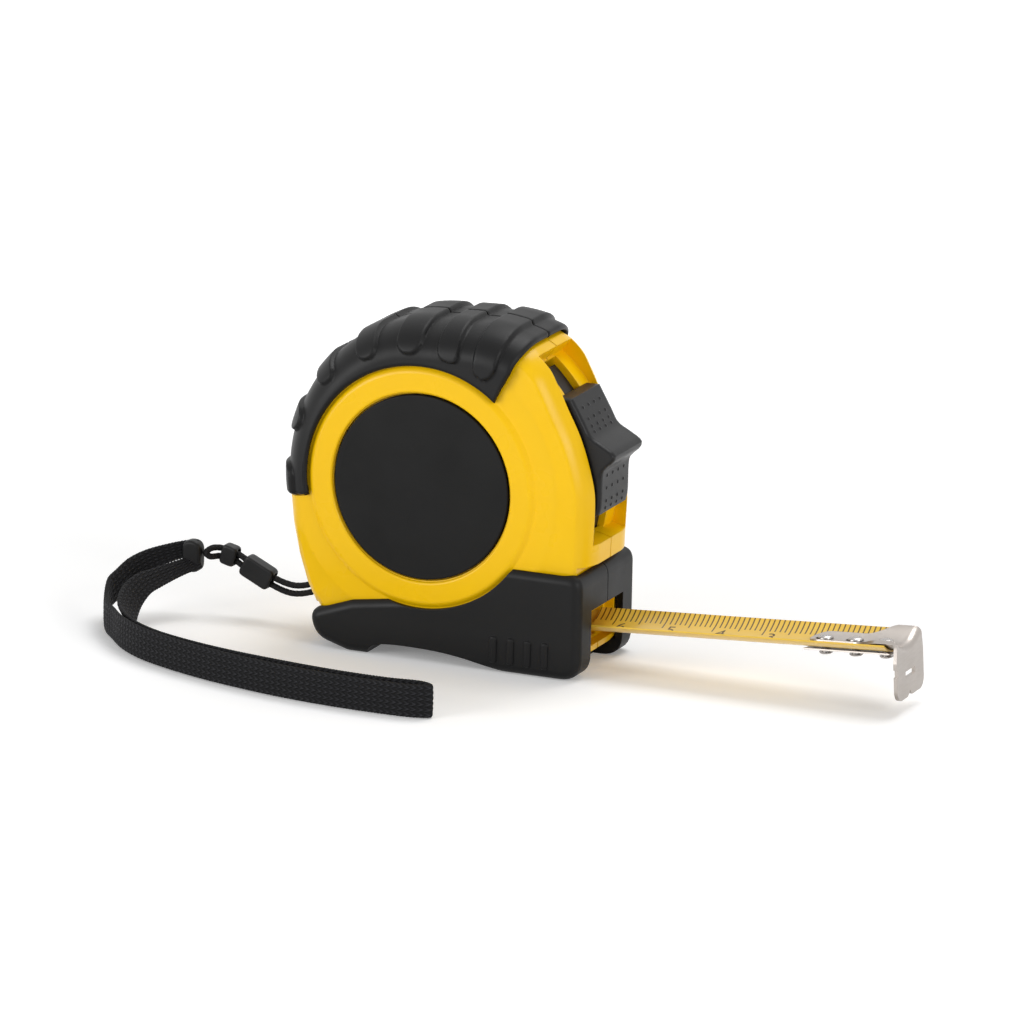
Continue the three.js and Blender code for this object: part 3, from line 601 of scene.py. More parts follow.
def linear(colour: str) -> tuple[float, float, float, float]:
    """Turns an sRGB hex colour to Blender's linear one.

    Args:
        colour: The colour as #RRGGBB.

    Returns:
        Its linear red, green, blue and alpha.
    """
    shares = [int(colour[k:k + 2], 16) / 255 for k in (1, 3, 5)]
    red, green, blue = (s / 12.92 if s <= 0.04045 else ((s + 0.055) / 1.055) ** 2.4
                        for s in shares)
    return red, green, blue, 1.0


def add(tree: Tree, kind: str, settings: dict[str, object] | None = None,
        inputs: dict[str | int, object] | None = None) -> bpy.types.Node:
    """Adds a node with its settings and links.

    Args:
        tree: The tree that it goes into.
        kind: The node's type, without its ShaderNode prefix.
        settings: Its own properties.
        inputs: Its inputs, each a value or the socket that feeds it.

    Returns:
        The node.
    """
    made = tree.nodes.new("ShaderNode" + kind)
    for key, value in (settings or {}).items():
        setattr(made, key, value)
    for key, value in (inputs or {}).items():
        if isinstance(value, Socket):
            tree.links.new(value, made.inputs[key])
        else:
            made.inputs[key].default_value = value
    return made


def maths(tree: Tree, operation: str, *values: object) -> Socket:
    """Adds a Math node and gives its result."""
    return add(tree, "Math", {"operation": operation}, dict(enumerate(values))).outputs[0]


def mixed(tree: Tree, share: object, first: object, second: object) -> Socket:
    """Mixes two colours by a share and gives the result."""
    return add(tree, "Mix", {"data_type": "RGBA"}, {0: share, 6: first, 7: second}).outputs[2]


def noise(tree: Tree, place: object, size: float, detail: float = 2.0) -> Socket:
    """Adds a noise whose grains are so many millimetres across, and gives its value."""
    return add(tree, "TexNoise", {}, {"Vector": place, "Scale": 1 / (size * MM),
                                      "Detail": detail}).outputs[0]


def ranged(tree: Tree, value: object, low: float, high: float, first: float, last: float) -> Socket:
    """Maps a value from the range low to high to the range first to last."""
    return add(tree, "MapRange", {}, {0: value, 1: low, 2: high, 3: first,
                                      4: last}).outputs[0]


def glossed(tree: Tree, share: object, roughness: float, swing: float) -> Socket:
    """Gives a roughness that swings to both sides of its middle value with a noise."""
    return ranged(tree, share, *NOISE_RANGE, roughness - swing, roughness + swing)


def bumped(tree: Tree, strength: float, depth: float, height: object, **inputs: object) -> Socket:
    """Adds a bump so many millimetres deep, and gives its normal."""
    return add(tree, "Bump", {}, {"Strength": strength, "Distance": depth * MM,
                                  "Height": height, **inputs}).outputs[0]


def softened(tree: Tree, radius: float) -> Socket:
    """Gives the normal with its edges rounded by so many millimetres."""
    return add(tree, "Bevel", {"samples": 4}, {"Radius": radius * MM}).outputs[0]


def started(name: str) -> Tree:
    """Makes an empty material and gives its tree.

    Args:
        name: The material's name.

    Returns:
        The tree.
    """
    material = bpy.data.materials.new(name)
    material.use_nodes = True
    material.node_tree.nodes.clear()
    return material.node_tree


def ended(tree: Tree, inputs: dict[str | int, object]) -> Material:
    """Closes a tree with its shader, and gives the material.

    Args:
        tree: The material's tree.
        inputs: The shader's inputs.

    Returns:
        The material.
    """
    shader = add(tree, "BsdfPrincipled", {}, inputs)
    add(tree, "OutputMaterial", {}, {"Surface": shader.outputs[0]})
    return next(m for m in bpy.data.materials if m.node_tree == tree)


@dataclass(frozen=True)
class Moulding:
    """Moulded plastic or rubber.

    Its die leaves a fine grain, the colour is a little uneven, and its edges are rounded. A lighter
    colour is painted along the edges in scuffed patches: a painted highlight of the light that runs
    along them, and partly worn edges too.
    """

    name: str
    colour: str
    tone: str
    # Lighter colour painted along the edges: a painted highlight, and partly worn edges.
    edge_sheen_and_wear: str
    roughness: float
    grain: float
    depth: float
    edge: float = 0.25
    edge_sheen_and_wear_share: float = 0.35
    ior: float = 1.5
    patch: float = 9.0
    sheen_and_scuff_size: float = 1.6

    def build(self) -> Material:
        """Builds the shader's nodes.

        Returns:
            The material.
        """
        tree = started(self.name)
        place = add(tree, "TexCoord").outputs["Object"]
        patches = noise(tree, place, self.patch, 3.0)
        grain = noise(tree, place, self.grain, 1.0)
        round_edge = softened(tree, self.edge)
        true_side = add(tree, "NewGeometry").outputs["Normal"]
        facing_share = add(tree, "VectorMath", {"operation": "DOT_PRODUCT"},
                           {0: round_edge, 1: true_side}).outputs["Value"]
        level, sharp = 0.995, 0.8
        edges = ranged(tree, facing_share, level, sharp, 0.0, self.edge_sheen_and_wear_share)
        ground = mixed(tree, patches, linear(self.colour), linear(self.tone))
        # Painted highlight along the rounded edges, broken into scuffed patches by noise; partly
        # worn edges too.
        sheen_and_scuffs = maths(tree, "MULTIPLY", edges, noise(tree, place, self.sheen_and_scuff_size, 4.0))
        colour = mixed(tree, sheen_and_scuffs, ground, linear(self.edge_sheen_and_wear))
        return ended(tree, {"Base Color": colour, "IOR": self.ior,
                            "Roughness": glossed(tree, patches, self.roughness, 0.04),
                            "Normal": bumped(tree, 0.6, self.depth, grain, Normal=round_edge)})


@dataclass(frozen=True)
class PressedSteel:
    """Nickel-plated sheet or turned steel: grey, with fine drawn lines and small scratches."""

    name: str
    colour: str
    tone: str
    roughness: float
    line: float = 0.25
    depth: float = 0.006
    edge: float = 0.12
    cloud: float = 5.0
    stretch: float = 0.08

    def build(self) -> Material:
        """Builds the shader's nodes.

        Returns:
            The material.
        """
        tree = started(self.name)
        place = add(tree, "TexCoord").outputs["Object"]
        drawn = add(tree, "Mapping", {},
                    {"Vector": place, "Scale": (1, self.stretch, 1)}).outputs[0]
        lines = noise(tree, drawn, self.line, 3.0)
        clouds = noise(tree, place, self.cloud, 4.0)
        colour = mixed(tree, clouds, linear(self.colour), linear(self.tone))
        return ended(tree, {"Base Color": colour, "Metallic": 1.0,
                            "Roughness": glossed(tree, lines, self.roughness, 0.06),
                            "Normal": bumped(tree, 0.5, self.depth, lines,
                                             Normal=softened(tree, self.edge))})


@dataclass(frozen=True)
class Lacquer:
    """Baked lacquer on spring steel, with the marks printed on it in brown.

    The marks stand at every millimetre along the far edge, and are longer at five and at ten.
    Their coordinates come from the strip's own map: millimetres from the hook and across.
    """

    name: str
    colour: str
    tone: str
    ink: str
    roughness: float = 0.34
    printed: bool = False
    edge: float = 6.95
    mark: float = 0.26
    lengths: tuple[Point, ...] = ((1.0, 3.4), (5.0, 4.2), (10.0, 5.0))
    cloud: float = 7.0
    peel: float = 0.8
    coat: float = 0.25

    def build(self) -> Material:
        """Builds the shader's nodes.

        Returns:
            The material.
        """
        tree = started(self.name)
        place = add(tree, "TexCoord").outputs["Object"]
        clouds = noise(tree, place, self.cloud, 3.0)
        colour = mixed(tree, clouds, linear(self.colour), linear(self.tone))
        if self.printed:
            colour = mixed(tree, self.marks(tree), colour, linear(self.ink))
        peel = noise(tree, place, self.peel, 2.0)
        return ended(tree, {"Base Color": colour, "Roughness": self.roughness,
                            "Coat Weight": self.coat,
                            "Normal": bumped(tree, 0.35, 0.01, peel)})

    def marks(self, tree: Tree) -> Socket:
        """Gives 1 on a printed mark and 0 beside it.

        Args:
            tree: The material's tree.

        Returns:
            The share of ink.
        """
        lay = add(tree, "UVMap", {"uv_map": "lay"}).outputs[0]
        along, across, _ = add(tree, "SeparateXYZ", {}, {0: lay}).outputs
        share: object = 0.0
        for pitch, length in self.lengths:
            turn = maths(tree, "FRACT", maths(tree, "MULTIPLY_ADD", along, 1 / pitch, 0.5))
            gap = maths(tree, "ABSOLUTE", maths(tree, "SUBTRACT", turn, 0.5))
            line = maths(tree, "LESS_THAN", gap, self.mark / pitch / 2)
            span = maths(tree, "GREATER_THAN", across, self.edge - length)
            share = maths(tree, "MAXIMUM", share, maths(tree, "MULTIPLY", line, span))
        return share


@dataclass(frozen=True)
class Braid:
    """Braided nylon: rows of plaited yarn, matt, with a fine fuzz of fibres. The yarn's crests are
    painted lighter and its valleys darker: a painted highlight and painted shade.

    Its coordinates come from the strap's own map: millimetres along it and rows across it.
    """

    name: str
    colour: str
    # Painted on the crests of the yarn: a painted highlight.
    tone: str
    stitch: float
    depth: float
    fibre: float = 0.12
    slant: float = 1.6
    valley: float = 1.9

    def build(self) -> Material:
        """Builds the shader's nodes.

        Returns:
            The material.
        """
        tree = started(self.name)
        lay = add(tree, "UVMap", {"uv_map": "lay"}).outputs[0]
        place = add(tree, "TexCoord").outputs["Object"]
        along, rows, _ = add(tree, "SeparateXYZ", {}, {0: lay}).outputs
        spot = maths(tree, "ABSOLUTE",
                     maths(tree, "SUBTRACT", maths(tree, "FRACT", rows), 0.5))
        lean = maths(tree, "MULTIPLY_ADD", spot, self.slant,
                     maths(tree, "MULTIPLY", along, 1 / self.stitch))
        yarn = maths(tree, "MULTIPLY", maths(tree, "PINGPONG", lean, 0.5), 2.0)
        crest = maths(tree, "SUBTRACT", 1.0, maths(tree, "MULTIPLY", spot, self.valley))
        fibres = noise(tree, place, self.fibre, 2.0)
        height = maths(tree, "MULTIPLY_ADD", fibres, 0.15,
                       maths(tree, "MULTIPLY", yarn, maths(tree, "POWER", crest, 0.6)))
        # Crests painted lighter and valleys darker by height: painted highlight and painted shade.
        share = maths(tree, "POWER", height, 2.2)
        colour = mixed(tree, share, linear(self.colour), linear(self.tone))
        return ended(tree, {"Base Color": colour, "Roughness": 0.72, "IOR": 1.3,
                            "Normal": bumped(tree, 1.0, self.depth, height)})


class Finishes:
    """Every material of the tape, built once."""

    def __init__(self) -> None:
        """Builds the materials."""
        # Each moulding's third colour is painted along its edges: a painted highlight, partly worn
        # edges too.
        self.yellow = Moulding("abs_yellow_gloss", "#F5C403", "#F1BD02", "#FBD84A", 0.3, 0.5,
                               0.004, ior=1.33).build()
        self.rubber = Moulding("rubber_black_moulded", "#0D0D0E", "#0A0A0A", "#28282A", 0.45,
                               0.35, 0.012, 0.3, ior=1.3).build()
        self.black = Moulding("abs_black_satin", "#0E0E0F", "#0B0B0C", "#343437", 0.38, 0.4,
                              0.01, ior=1.34).build()
        self.disc = Moulding("abs_black_matt", "#0C0C0C", "#090909", "#202021", 0.6, 0.3,
                             0.006, 0.15, ior=1.28).build()
        self.spool = Moulding("acetal_grey", "#8E9194", "#85888B", "#A5A8AA", 0.5, 0.5,
                              0.004).build()
        self.hook = PressedSteel("steel_nickel_pressed", "#B7B0AA", "#A7A09A", 0.34).build()
        self.fastener = PressedSteel("steel_turned", "#B4B0AD", "#A4A09D", 0.26).build()
        self.spring = PressedSteel("steel_spring_blued", "#6A6E76", "#5A5E66", 0.3).build()
        self.printed = Lacquer("lacquer_yellow_printed", "#E9C042", "#E0B63A", "#4A350C",
                               printed=True).build()
        self.lacquer = Lacquer("lacquer_yellow", "#E4BA42", "#DAAE38", "#5E4310").build()
        self.ink = Moulding("printing_ink_brown", "#4A3512", "#553D16", "#5E4518", 0.5, 0.3,
                            0.001).build()
        # Each braid's second colour is painted on the crests of its yarn: a painted highlight, with
        # painted shade in the valleys.
        self.braid = Braid("nylon_braid_black", "#020203", "#36363A", 1.25, 0.3).build()
        self.cord = Braid("nylon_cord_black", "#0A0A0B", "#242426", 0.8, 0.08).build()


# Camera, light and floor

@dataclass(frozen=True)
class Studio:
    """The photographer's table: a long lens, a white sweep and soft boxes."""

    lens: float = 299.97
    sensor: float = 36.0
    sight: float = 20.0
    place: Spot = (590.076, -1408.08, 439.77)
    right: Spot = (0.91572, 0.40137, 0.01871)
    up: Spot = (-0.12080, 0.23061, 0.96552)
    view: Spot = (-0.38322, 0.88641, -0.25966)
    floor_reach: float = 6.0
    ambient: float = 0.35
    floor_lift: float = 0.17
    floor_near: float = 0.08
    floor_far: float = 0.60

    def build(self) -> None:
        """Sets the camera, the lamps, the world and the floor."""
        self.camera()
        self.world()
        self.floor()
        self.lamp("top_back", (0.05, 0.30, 0.75), (0.0, 0.0, 0.02), size=0.45, power=3.0)
        self.lamp("front_left", (-0.75, -1.00, 0.26), (0.0, 0.0, 0.03), size=0.60, power=8.2)
        self.lamp("front_right", (0.95, -0.40, 0.42), (0.02, 0.0, 0.03), size=0.50, power=4.3)
        bpy.context.scene.view_settings.view_transform = "Standard"

    def camera(self) -> None:
        """Puts the camera where the photograph was taken."""
        data = bpy.data.cameras.new("camera")
        data.lens, data.sensor_width, data.clip_end = self.lens, self.sensor, self.sight
        camera = placed("camera", data)
        right, up, view = Vector(self.right), Vector(self.up), Vector(self.view)
        turn = Matrix((right, up, -view)).transposed()
        camera.matrix_world = Matrix.Translation(Vector(self.place) * MM) @ turn.to_4x4()
        bpy.context.scene.camera = camera

    def lamp(self, name: str, place: Sequence[float], target: Sequence[float], size: float,
             power: float) -> None:
        """Hangs a square soft box that looks at a point.

        Args:
            name: The lamp's name.
            place: Where it hangs, in metres.
            target: What it looks at, in metres.
            size: Its side in metres.
            power: Its power in watts.
        """
        data = bpy.data.lights.new(name, "AREA")
        data.shape, data.size, data.energy = "SQUARE", size, power
        lamp = placed(name, data)
        lamp.location = place
        lamp.rotation_euler = (Vector(place) - Vector(target)).to_track_quat("Z", "Y").to_euler()

    def seen(self, tree: Tree) -> Socket:
        """Gives 1 for what the camera, a gloss or a glass sees, and 0 for light.

        Args:
            tree: The tree that asks.

        Returns:
            The share.
        """
        rays = add(tree, "LightPath").outputs
        share = maths(tree, "MAXIMUM", rays["Is Camera Ray"], rays["Is Glossy Ray"])
        return maths(tree, "MAXIMUM", share, rays["Is Transmission Ray"])

    def world(self) -> None:
        """Makes the sweep behind white, and its light on the object plain."""
        world = bpy.data.worlds.new("studio")
        bpy.context.scene.world = world
        world.use_nodes = True
        tree = world.node_tree
        tree.nodes.clear()
        strength = ranged(tree, self.seen(tree), 0.0, 1.0, self.ambient, 1.0)
        shade = add(tree, "Background", {}, {0: WHITE, 1: strength})
        add(tree, "OutputWorld", {}, {"Surface": shade.outputs[0]})

    def floor(self) -> None:
        """Lays the white floor, which keeps the object's shadow."""
        plane = bmesh.new()
        bmesh.ops.create_grid(plane, x_segments=1, y_segments=1, size=self.floor_reach)
        floor = meshed("floor", plane)
        tree = started("floor_white_sweep")
        diffuse = add(tree, "BsdfDiffuse", {}, {"Color": linear("#FAFAFA")})
        place = add(tree, "NewGeometry").outputs["Position"]
        reach = add(tree, "VectorMath", {"operation": "LENGTH"}, {0: place}).outputs["Value"]
        away = add(tree, "MapRange", {"interpolation_type": "SMOOTHSTEP"},
                   {0: reach, 1: self.floor_near, 2: self.floor_far, 3: self.floor_lift, 4: 1.0})
        lift = maths(tree, "MULTIPLY", self.seen(tree), away.outputs[0])
        glow = add(tree, "Emission", {}, {"Color": WHITE, "Strength": lift})
        both = add(tree, "AddShader", {}, {0: diffuse.outputs[0], 1: glow.outputs[0]})
        add(tree, "OutputMaterial", {}, {"Surface": both.outputs[0]})
        floor.data.materials.append(bpy.data.materials["floor_white_sweep"])


# Wrist strap

def smooth_route(points: Sequence[Spot], pitch: float) -> list[Vector]:
    """Runs a centripetal curve through a cord's points, as the CAD model does.

    Args:
        points: The route in millimetres.
        pitch: The length of each step of the result.

    Returns:
        Points a pitch apart along the curve.
    """
    steps = 24
    route = [Vector(p) for p in points]
    ends = [2 * route[0] - route[1], *route, 2 * route[-1] - route[-2]]
    fine: list[Vector] = []
    for k in range(len(route) - 1):
        a, b, c, d = ends[k:k + 4]
        gaps = [max((q - p).length ** 0.5, 1e-4) for p, q in ((a, b), (b, c), (c, d))]
        first = ((b - a) / gaps[0] - (c - a) / (gaps[0] + gaps[1]) + (c - b) / gaps[1]) * gaps[1]
        last = ((c - b) / gaps[1] - (d - b) / (gaps[1] + gaps[2]) + (d - c) / gaps[2]) * gaps[1]
        for step in range(steps):
            t = step / steps
            fine.append(b + first * t + (-3 * b + 3 * c - 2 * first - last) * t * t
                        + (2 * b - 2 * c + first + last) * t ** 3)
    fine.append(route[-1])
    reach = [0.0]
    for p, q in zip(fine, fine[1:]):
        reach.append(reach[-1] + (q - p).length)
    count = max(2, round(reach[-1] / pitch))
    even: list[Vector] = []
    for k in range(count + 1):
        want = reach[-1] * k / count
        at = min(max(1, bisect_left(reach, want)), len(reach) - 1)
        share = (want - reach[at - 1]) / max(reach[at] - reach[at - 1], 1e-9)
        even.append(fine[at - 1].lerp(fine[at], share))
    return even


@dataclass
class WristStrap:
    """A flat braided band on a doubled cord, with a ferrule and a clip on the cord."""

    cord_radius: float = 0.6
    cord_sides: int = 14
    cord_pitch: float = 0.16
    yarn_turn: float = 2.2
    yarn_rise: float = 0.06
    band_width: float = 6.3
    band_end: float = 3.2
    band_thickness: float = 1.0
    band_sides: int = 72
    band_pitch: float = 0.21
    rows: int = 6
    row_bow: float = 0.8
    ridge_bow: float = 0.7
    face_bow: float = 0.4
    weave: Spot = (0.66, 0.26, 0.08)
    ripple: float = 0.10
    stitch: float = 1.25
    lean: float = 50.0
    lean_share: float = 0.3
    taper_share: float = 0.12
    strand_pitch: float = 1.5
    cord_route: tuple[Spot, ...] = (
        (-24.2, 0, 10.1), (-27.6, 0, 8.2), (-31.2, 0, 7.4), (-35.4, 0, 8.3), (-41.6, 0, 11.3),
        (-43, 0, 12), (-46.2, 0, 12.8), (-48, -1.4, 12.9), (-48.7, -2.4, 12.1),
        (-48.1, -1.9, 11.4), (-46.6, 0, 11.2), (-43.3, 0, 10.5), (-42.2, 0, 9.9),
        (-36, 0, 6.9), (-31.8, 0, 5.8), (-27.9, 0, 6.5), (-24.6, 0, 8.3))
    band_route: tuple[Spot, ...] = (
        (-50, -2.3, 13), (-52.2, -2.2, 12.6), (-56, -3, 11.4), (-59.6, -4.8, 9.9),
        (-61.8, -7, 8.4), (-63.1, -10, 6.5), (-63.7, -13, 5), (-62.2, -17.5, 3.9),
        (-59.6, -22.5, 3.4), (-56.5, -26.1, 3.3), (-52.3, -30.9, 3.3), (-46.5, -35.5, 3.3),
        (-39.1, -39.2, 3.3), (-30.2, -42.5, 3.3), (-22.2, -44.7, 3.3), (-12.6, -46.7, 3.3),
        (-1.4, -47.9, 3.3), (8.8, -48.1, 3.3), (15, -47.6, 3.3), (17.8, -46.2, 3.3),
        (15.6, -44.9, 3.3), (8.7, -45.5, 3.3), (-0.9, -45.4, 3.3), (-11, -44.4, 3.3),
        (-22, -42.6, 3.3), (-33, -39.4, 3.3), (-43.2, -34.7, 3.3), (-50, -29.6, 3.5),
        (-54.6, -24.2, 4.4), (-56.8, -17.5, 6.3), (-56.5, -13.5, 7.7), (-55.1, -10, 8.4),
        (-52.8, -6, 9.4), (-51.2, -4.2, 10), (-49.7, -3, 10.5))
    ferrule: tuple[Spot, Spot] = ((-35.7, 0, 7.6), (-41.9, 0, 10.6))
    ferrule_size: Spot = (6.6, 4.2, 2.8)
    clip: tuple[Spot, Spot] = ((-43.1, 0, 11.3), (-46.4, 0, 12.1))
    clip_size: Spot = (3.2, 3.9, 2.6)
    sleeve_edge: float = 0.45
    sleeve_play: float = 0.3
    seam_middle: Spot = (-51.2, -2.7, 11.4)
    seam_size: Spot = (3.8, 6.2, 2.6)
    seam_corner: float = 1.9
    seam_edge: float = 0.6

    def build(self, finishes: Finishes) -> None:
        """Args:
            finishes: The materials.
        """
        sleeves = [
            self.sleeve("strap_ferrule", self.ferrule, self.ferrule_size, finishes.black),
            self.sleeve("strap_clip", self.clip, self.clip_size, finishes.black)]
        cord, path = self.cord(finishes.cord)
        self.declare(cord, path, 2 * self.cord_radius, sleeves)
        band, path = self.band(finishes.braid)
        self.declare(band, path, self.band_width, [self.seam(finishes.rubber)])

    def seam(self, material: Material) -> Object:
        """Makes the sewn seam that joins the band's ends at the cord's loop.

        Args:
            material: Its material.

        Returns:
            The seam.
        """
        x, y, z = self.seam_middle
        length, height, width = self.seam_size
        solid = pillow(oblong(x, z, length, height, self.seam_corner), width / 2,
                       (self.seam_edge, self.seam_edge), 5)
        return Piece("wrist_seam", "case", "strap_fabric").make(moved(solid, 0, y, 0), material)

    def declare(self, piece: Object, path: Sequence[Vector], width: float,
                sleeves: Sequence[Object]) -> None:
        """Turns a cord's path to metres and measures its length, and does nothing more with them.

        Args:
            piece: The cord; not used.
            path: Its middle, in millimetres.
            width: Its width in millimetres; not used.
            sleeves: The pieces that it carries; not used.
        """
        places = [(p - Vector((ORIGIN_X, 0, 0))) * MM for p in path]
        length = sum((b - a).length for a, b in zip(places, places[1:]))
        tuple(places[0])

    def tube(self, path: Sequence[Vector], sides: int, section: Callable[[float, float], Point],
             widths: Callable[[float, Vector], Vector], row: Callable[[float], float]) -> Solid:
        """Sweeps a section along a path.

        Args:
            path: The middle of the tube.
            sides: Steps round the section.
            section: Gives the place across and out for the share along and the angle round.
            widths: Gives the direction across for the share along and the tangent.
            row: Gives the row of stitches for the angle round.

        Returns:
            The closed tube, with its own map in millimetres.
        """
        last = len(path) - 1
        pitch = (path[1] - path[0]).length
        frames = []
        for k, middle in enumerate(path):
            tangent = (path[min(k + 1, last)] - path[max(k - 1, 0)]).normalized()
            across = widths(k / last, tangent)
            frames.append((middle, across, tangent.cross(across).normalized()))

        def place(share: float, turn: float) -> Vector:
            """Puts one point of the grid on the tube.

            Args:
                share: Share along the tube.
                turn: Share round it.

            Returns:
                The point.
            """
            middle, across, depth = frames[round(share * last)]
            w, d = section(share, turn * math.tau)
            return middle + across * w + depth * d

        tube = wrapped(last, sides, place,
                       lambda share, turn: (share * last * pitch, row(turn * math.tau)))
        bmesh.ops.remove_doubles(tube, verts=tube.verts[:], dist=1e-4)
        rims = [e for e in tube.edges if len(e.link_faces) == 1]
        bmesh.ops.holes_fill(tube, edges=rims, sides=0)
        bmesh.ops.recalc_face_normals(tube, faces=tube.faces[:])
        return tube

    def cord(self, material: Material) -> tuple[Object, list[Vector]]:
        """Makes the doubled cord, with the two yarns of its braid standing out.

        Args:
            material: Its material.

        Returns:
            The cord and its path.
        """
        path = smooth_route(self.cord_route, self.cord_pitch)
        turns = len(path) * self.cord_pitch / self.yarn_turn

        def section(share: float, angle: float) -> Point:
            """Gives a round section with four yarns that wind round it.

            Args:
                share: Share along the cord.
                angle: Angle round the section.

            Returns:
                The place across and out.
            """
            yarn = abs(math.sin(2 * angle + share * turns * math.tau))
            radius = self.cord_radius * (1 - self.yarn_rise * (1 - yarn))
            return radius * math.cos(angle), radius * math.sin(angle)

        def side(_share: float, tangent: Vector) -> Vector:
            """Gives a steady direction across the cord."""
            return tangent.cross(Vector((0.2, 1, 0.1))).normalized()

        tube = self.tube(path, self.cord_sides, section, side,
                         lambda angle: 4 * angle / math.tau)
        piece = Piece("wrist_cord", "case", "strap_fabric", ("strap_cord",))
        return piece.make(tube, material, weighted=False), path

    def band(self, material: Material) -> tuple[Object, list[Vector]]:
        """Makes the flat band: rows of plaits, on edge, leaning over at its far end.

        Args:
            material: Its material.

        Returns:
            The band and its path.
        """
        path = smooth_route(self.band_route, self.band_pitch)
        length = self.band_pitch * (len(path) - 1)

        def half_width(share: float) -> float:
            """Gives half the width, gathered at both ends."""
            taper = eased(min(share, 1 - share) / self.taper_share)
            return (self.band_end + (self.band_width - self.band_end) * taper) / 2

        def row(angle: float) -> float:
            """Gives the row of stitches at an angle round the section."""
            across = math.copysign(abs(math.cos(angle)) ** self.row_bow, math.cos(angle))
            return (across + 1) / 2 * self.rows

        def section(share: float, angle: float) -> Point:
            """Gives a flat section whose faces carry rows of stitches.

            Args:
                share: Share along the band.
                angle: Angle round the section.

            Returns:
                The place across and out.
            """
            place = row(angle)
            ridge = abs(math.sin(math.pi * place)) ** self.ridge_bow
            beat = math.sin(math.tau * share * length / self.stitch)
            out = math.copysign(abs(math.sin(angle)) ** self.face_bow, math.sin(angle))
            plain, rise, knot = self.weave
            swell = plain + rise * ridge + knot * beat * ridge
            ripple = self.ripple * beat * abs(math.cos(angle)) ** 4
            across = (2 * place / self.rows - 1) * (half_width(share) - self.ripple)
            return across + math.copysign(ripple, across), out * swell * self.band_thickness / 2

        def side(share: float, tangent: Vector) -> Vector:
            """Gives the direction across the band.

            Args:
                share: Share along the band.
                tangent: The band's direction there.

            Returns:
                The unit vector.
            """
            inward = Vector((0, 0, 1)).cross(tangent).normalized()
            lean = math.radians(self.lean * max(0.0, 1 - (1 - share) / self.lean_share))
            up = Vector((0, 0, math.cos(lean))) + inward * math.sin(lean)
            return (up - tangent * up.dot(tangent)).normalized()

        tube = self.tube(path, self.band_sides, section, side, row)
        piece = Piece("wrist_band", "case", "strap_fabric", ("strap_band",))
        return piece.make(tube, material, weighted=False), path

    def sleeve(self, name: str, ends: Sequence[Spot], size: Spot, material: Material) -> Object:
        """Makes a sleeve on the two strands.

        Args:
            name: The CAD node that it stands for.
            ends: The middle of its two ends.
            size: Its length, height and width.
            material: Its material.

        Returns:
            The sleeve.
        """
        length, height, width = size
        solid = pillow(oblong(0, 0, length, height, height / 4), width / 2,
                       (self.sleeve_edge, self.sleeve_edge), 4)
        bore = self.cord_radius + self.sleeve_play
        oval = oblong(0, 0, 2 * bore, self.strand_pitch + 2 * bore, bore, 8)
        solid = worked(solid, Operation.CUT, swung(prism(oval, -length, length),
                                                   math.pi / 2, "Z"))
        start, end = Vector(ends[0]), Vector(ends[1])
        swung(solid, math.atan2(end.z - start.z, start.x - end.x), "Y")
        moved(solid, *((start + end) / 2))
        return Piece(name + "_sleeve", "case", "black_plastic", (name,)).make(solid, material)


# Casing

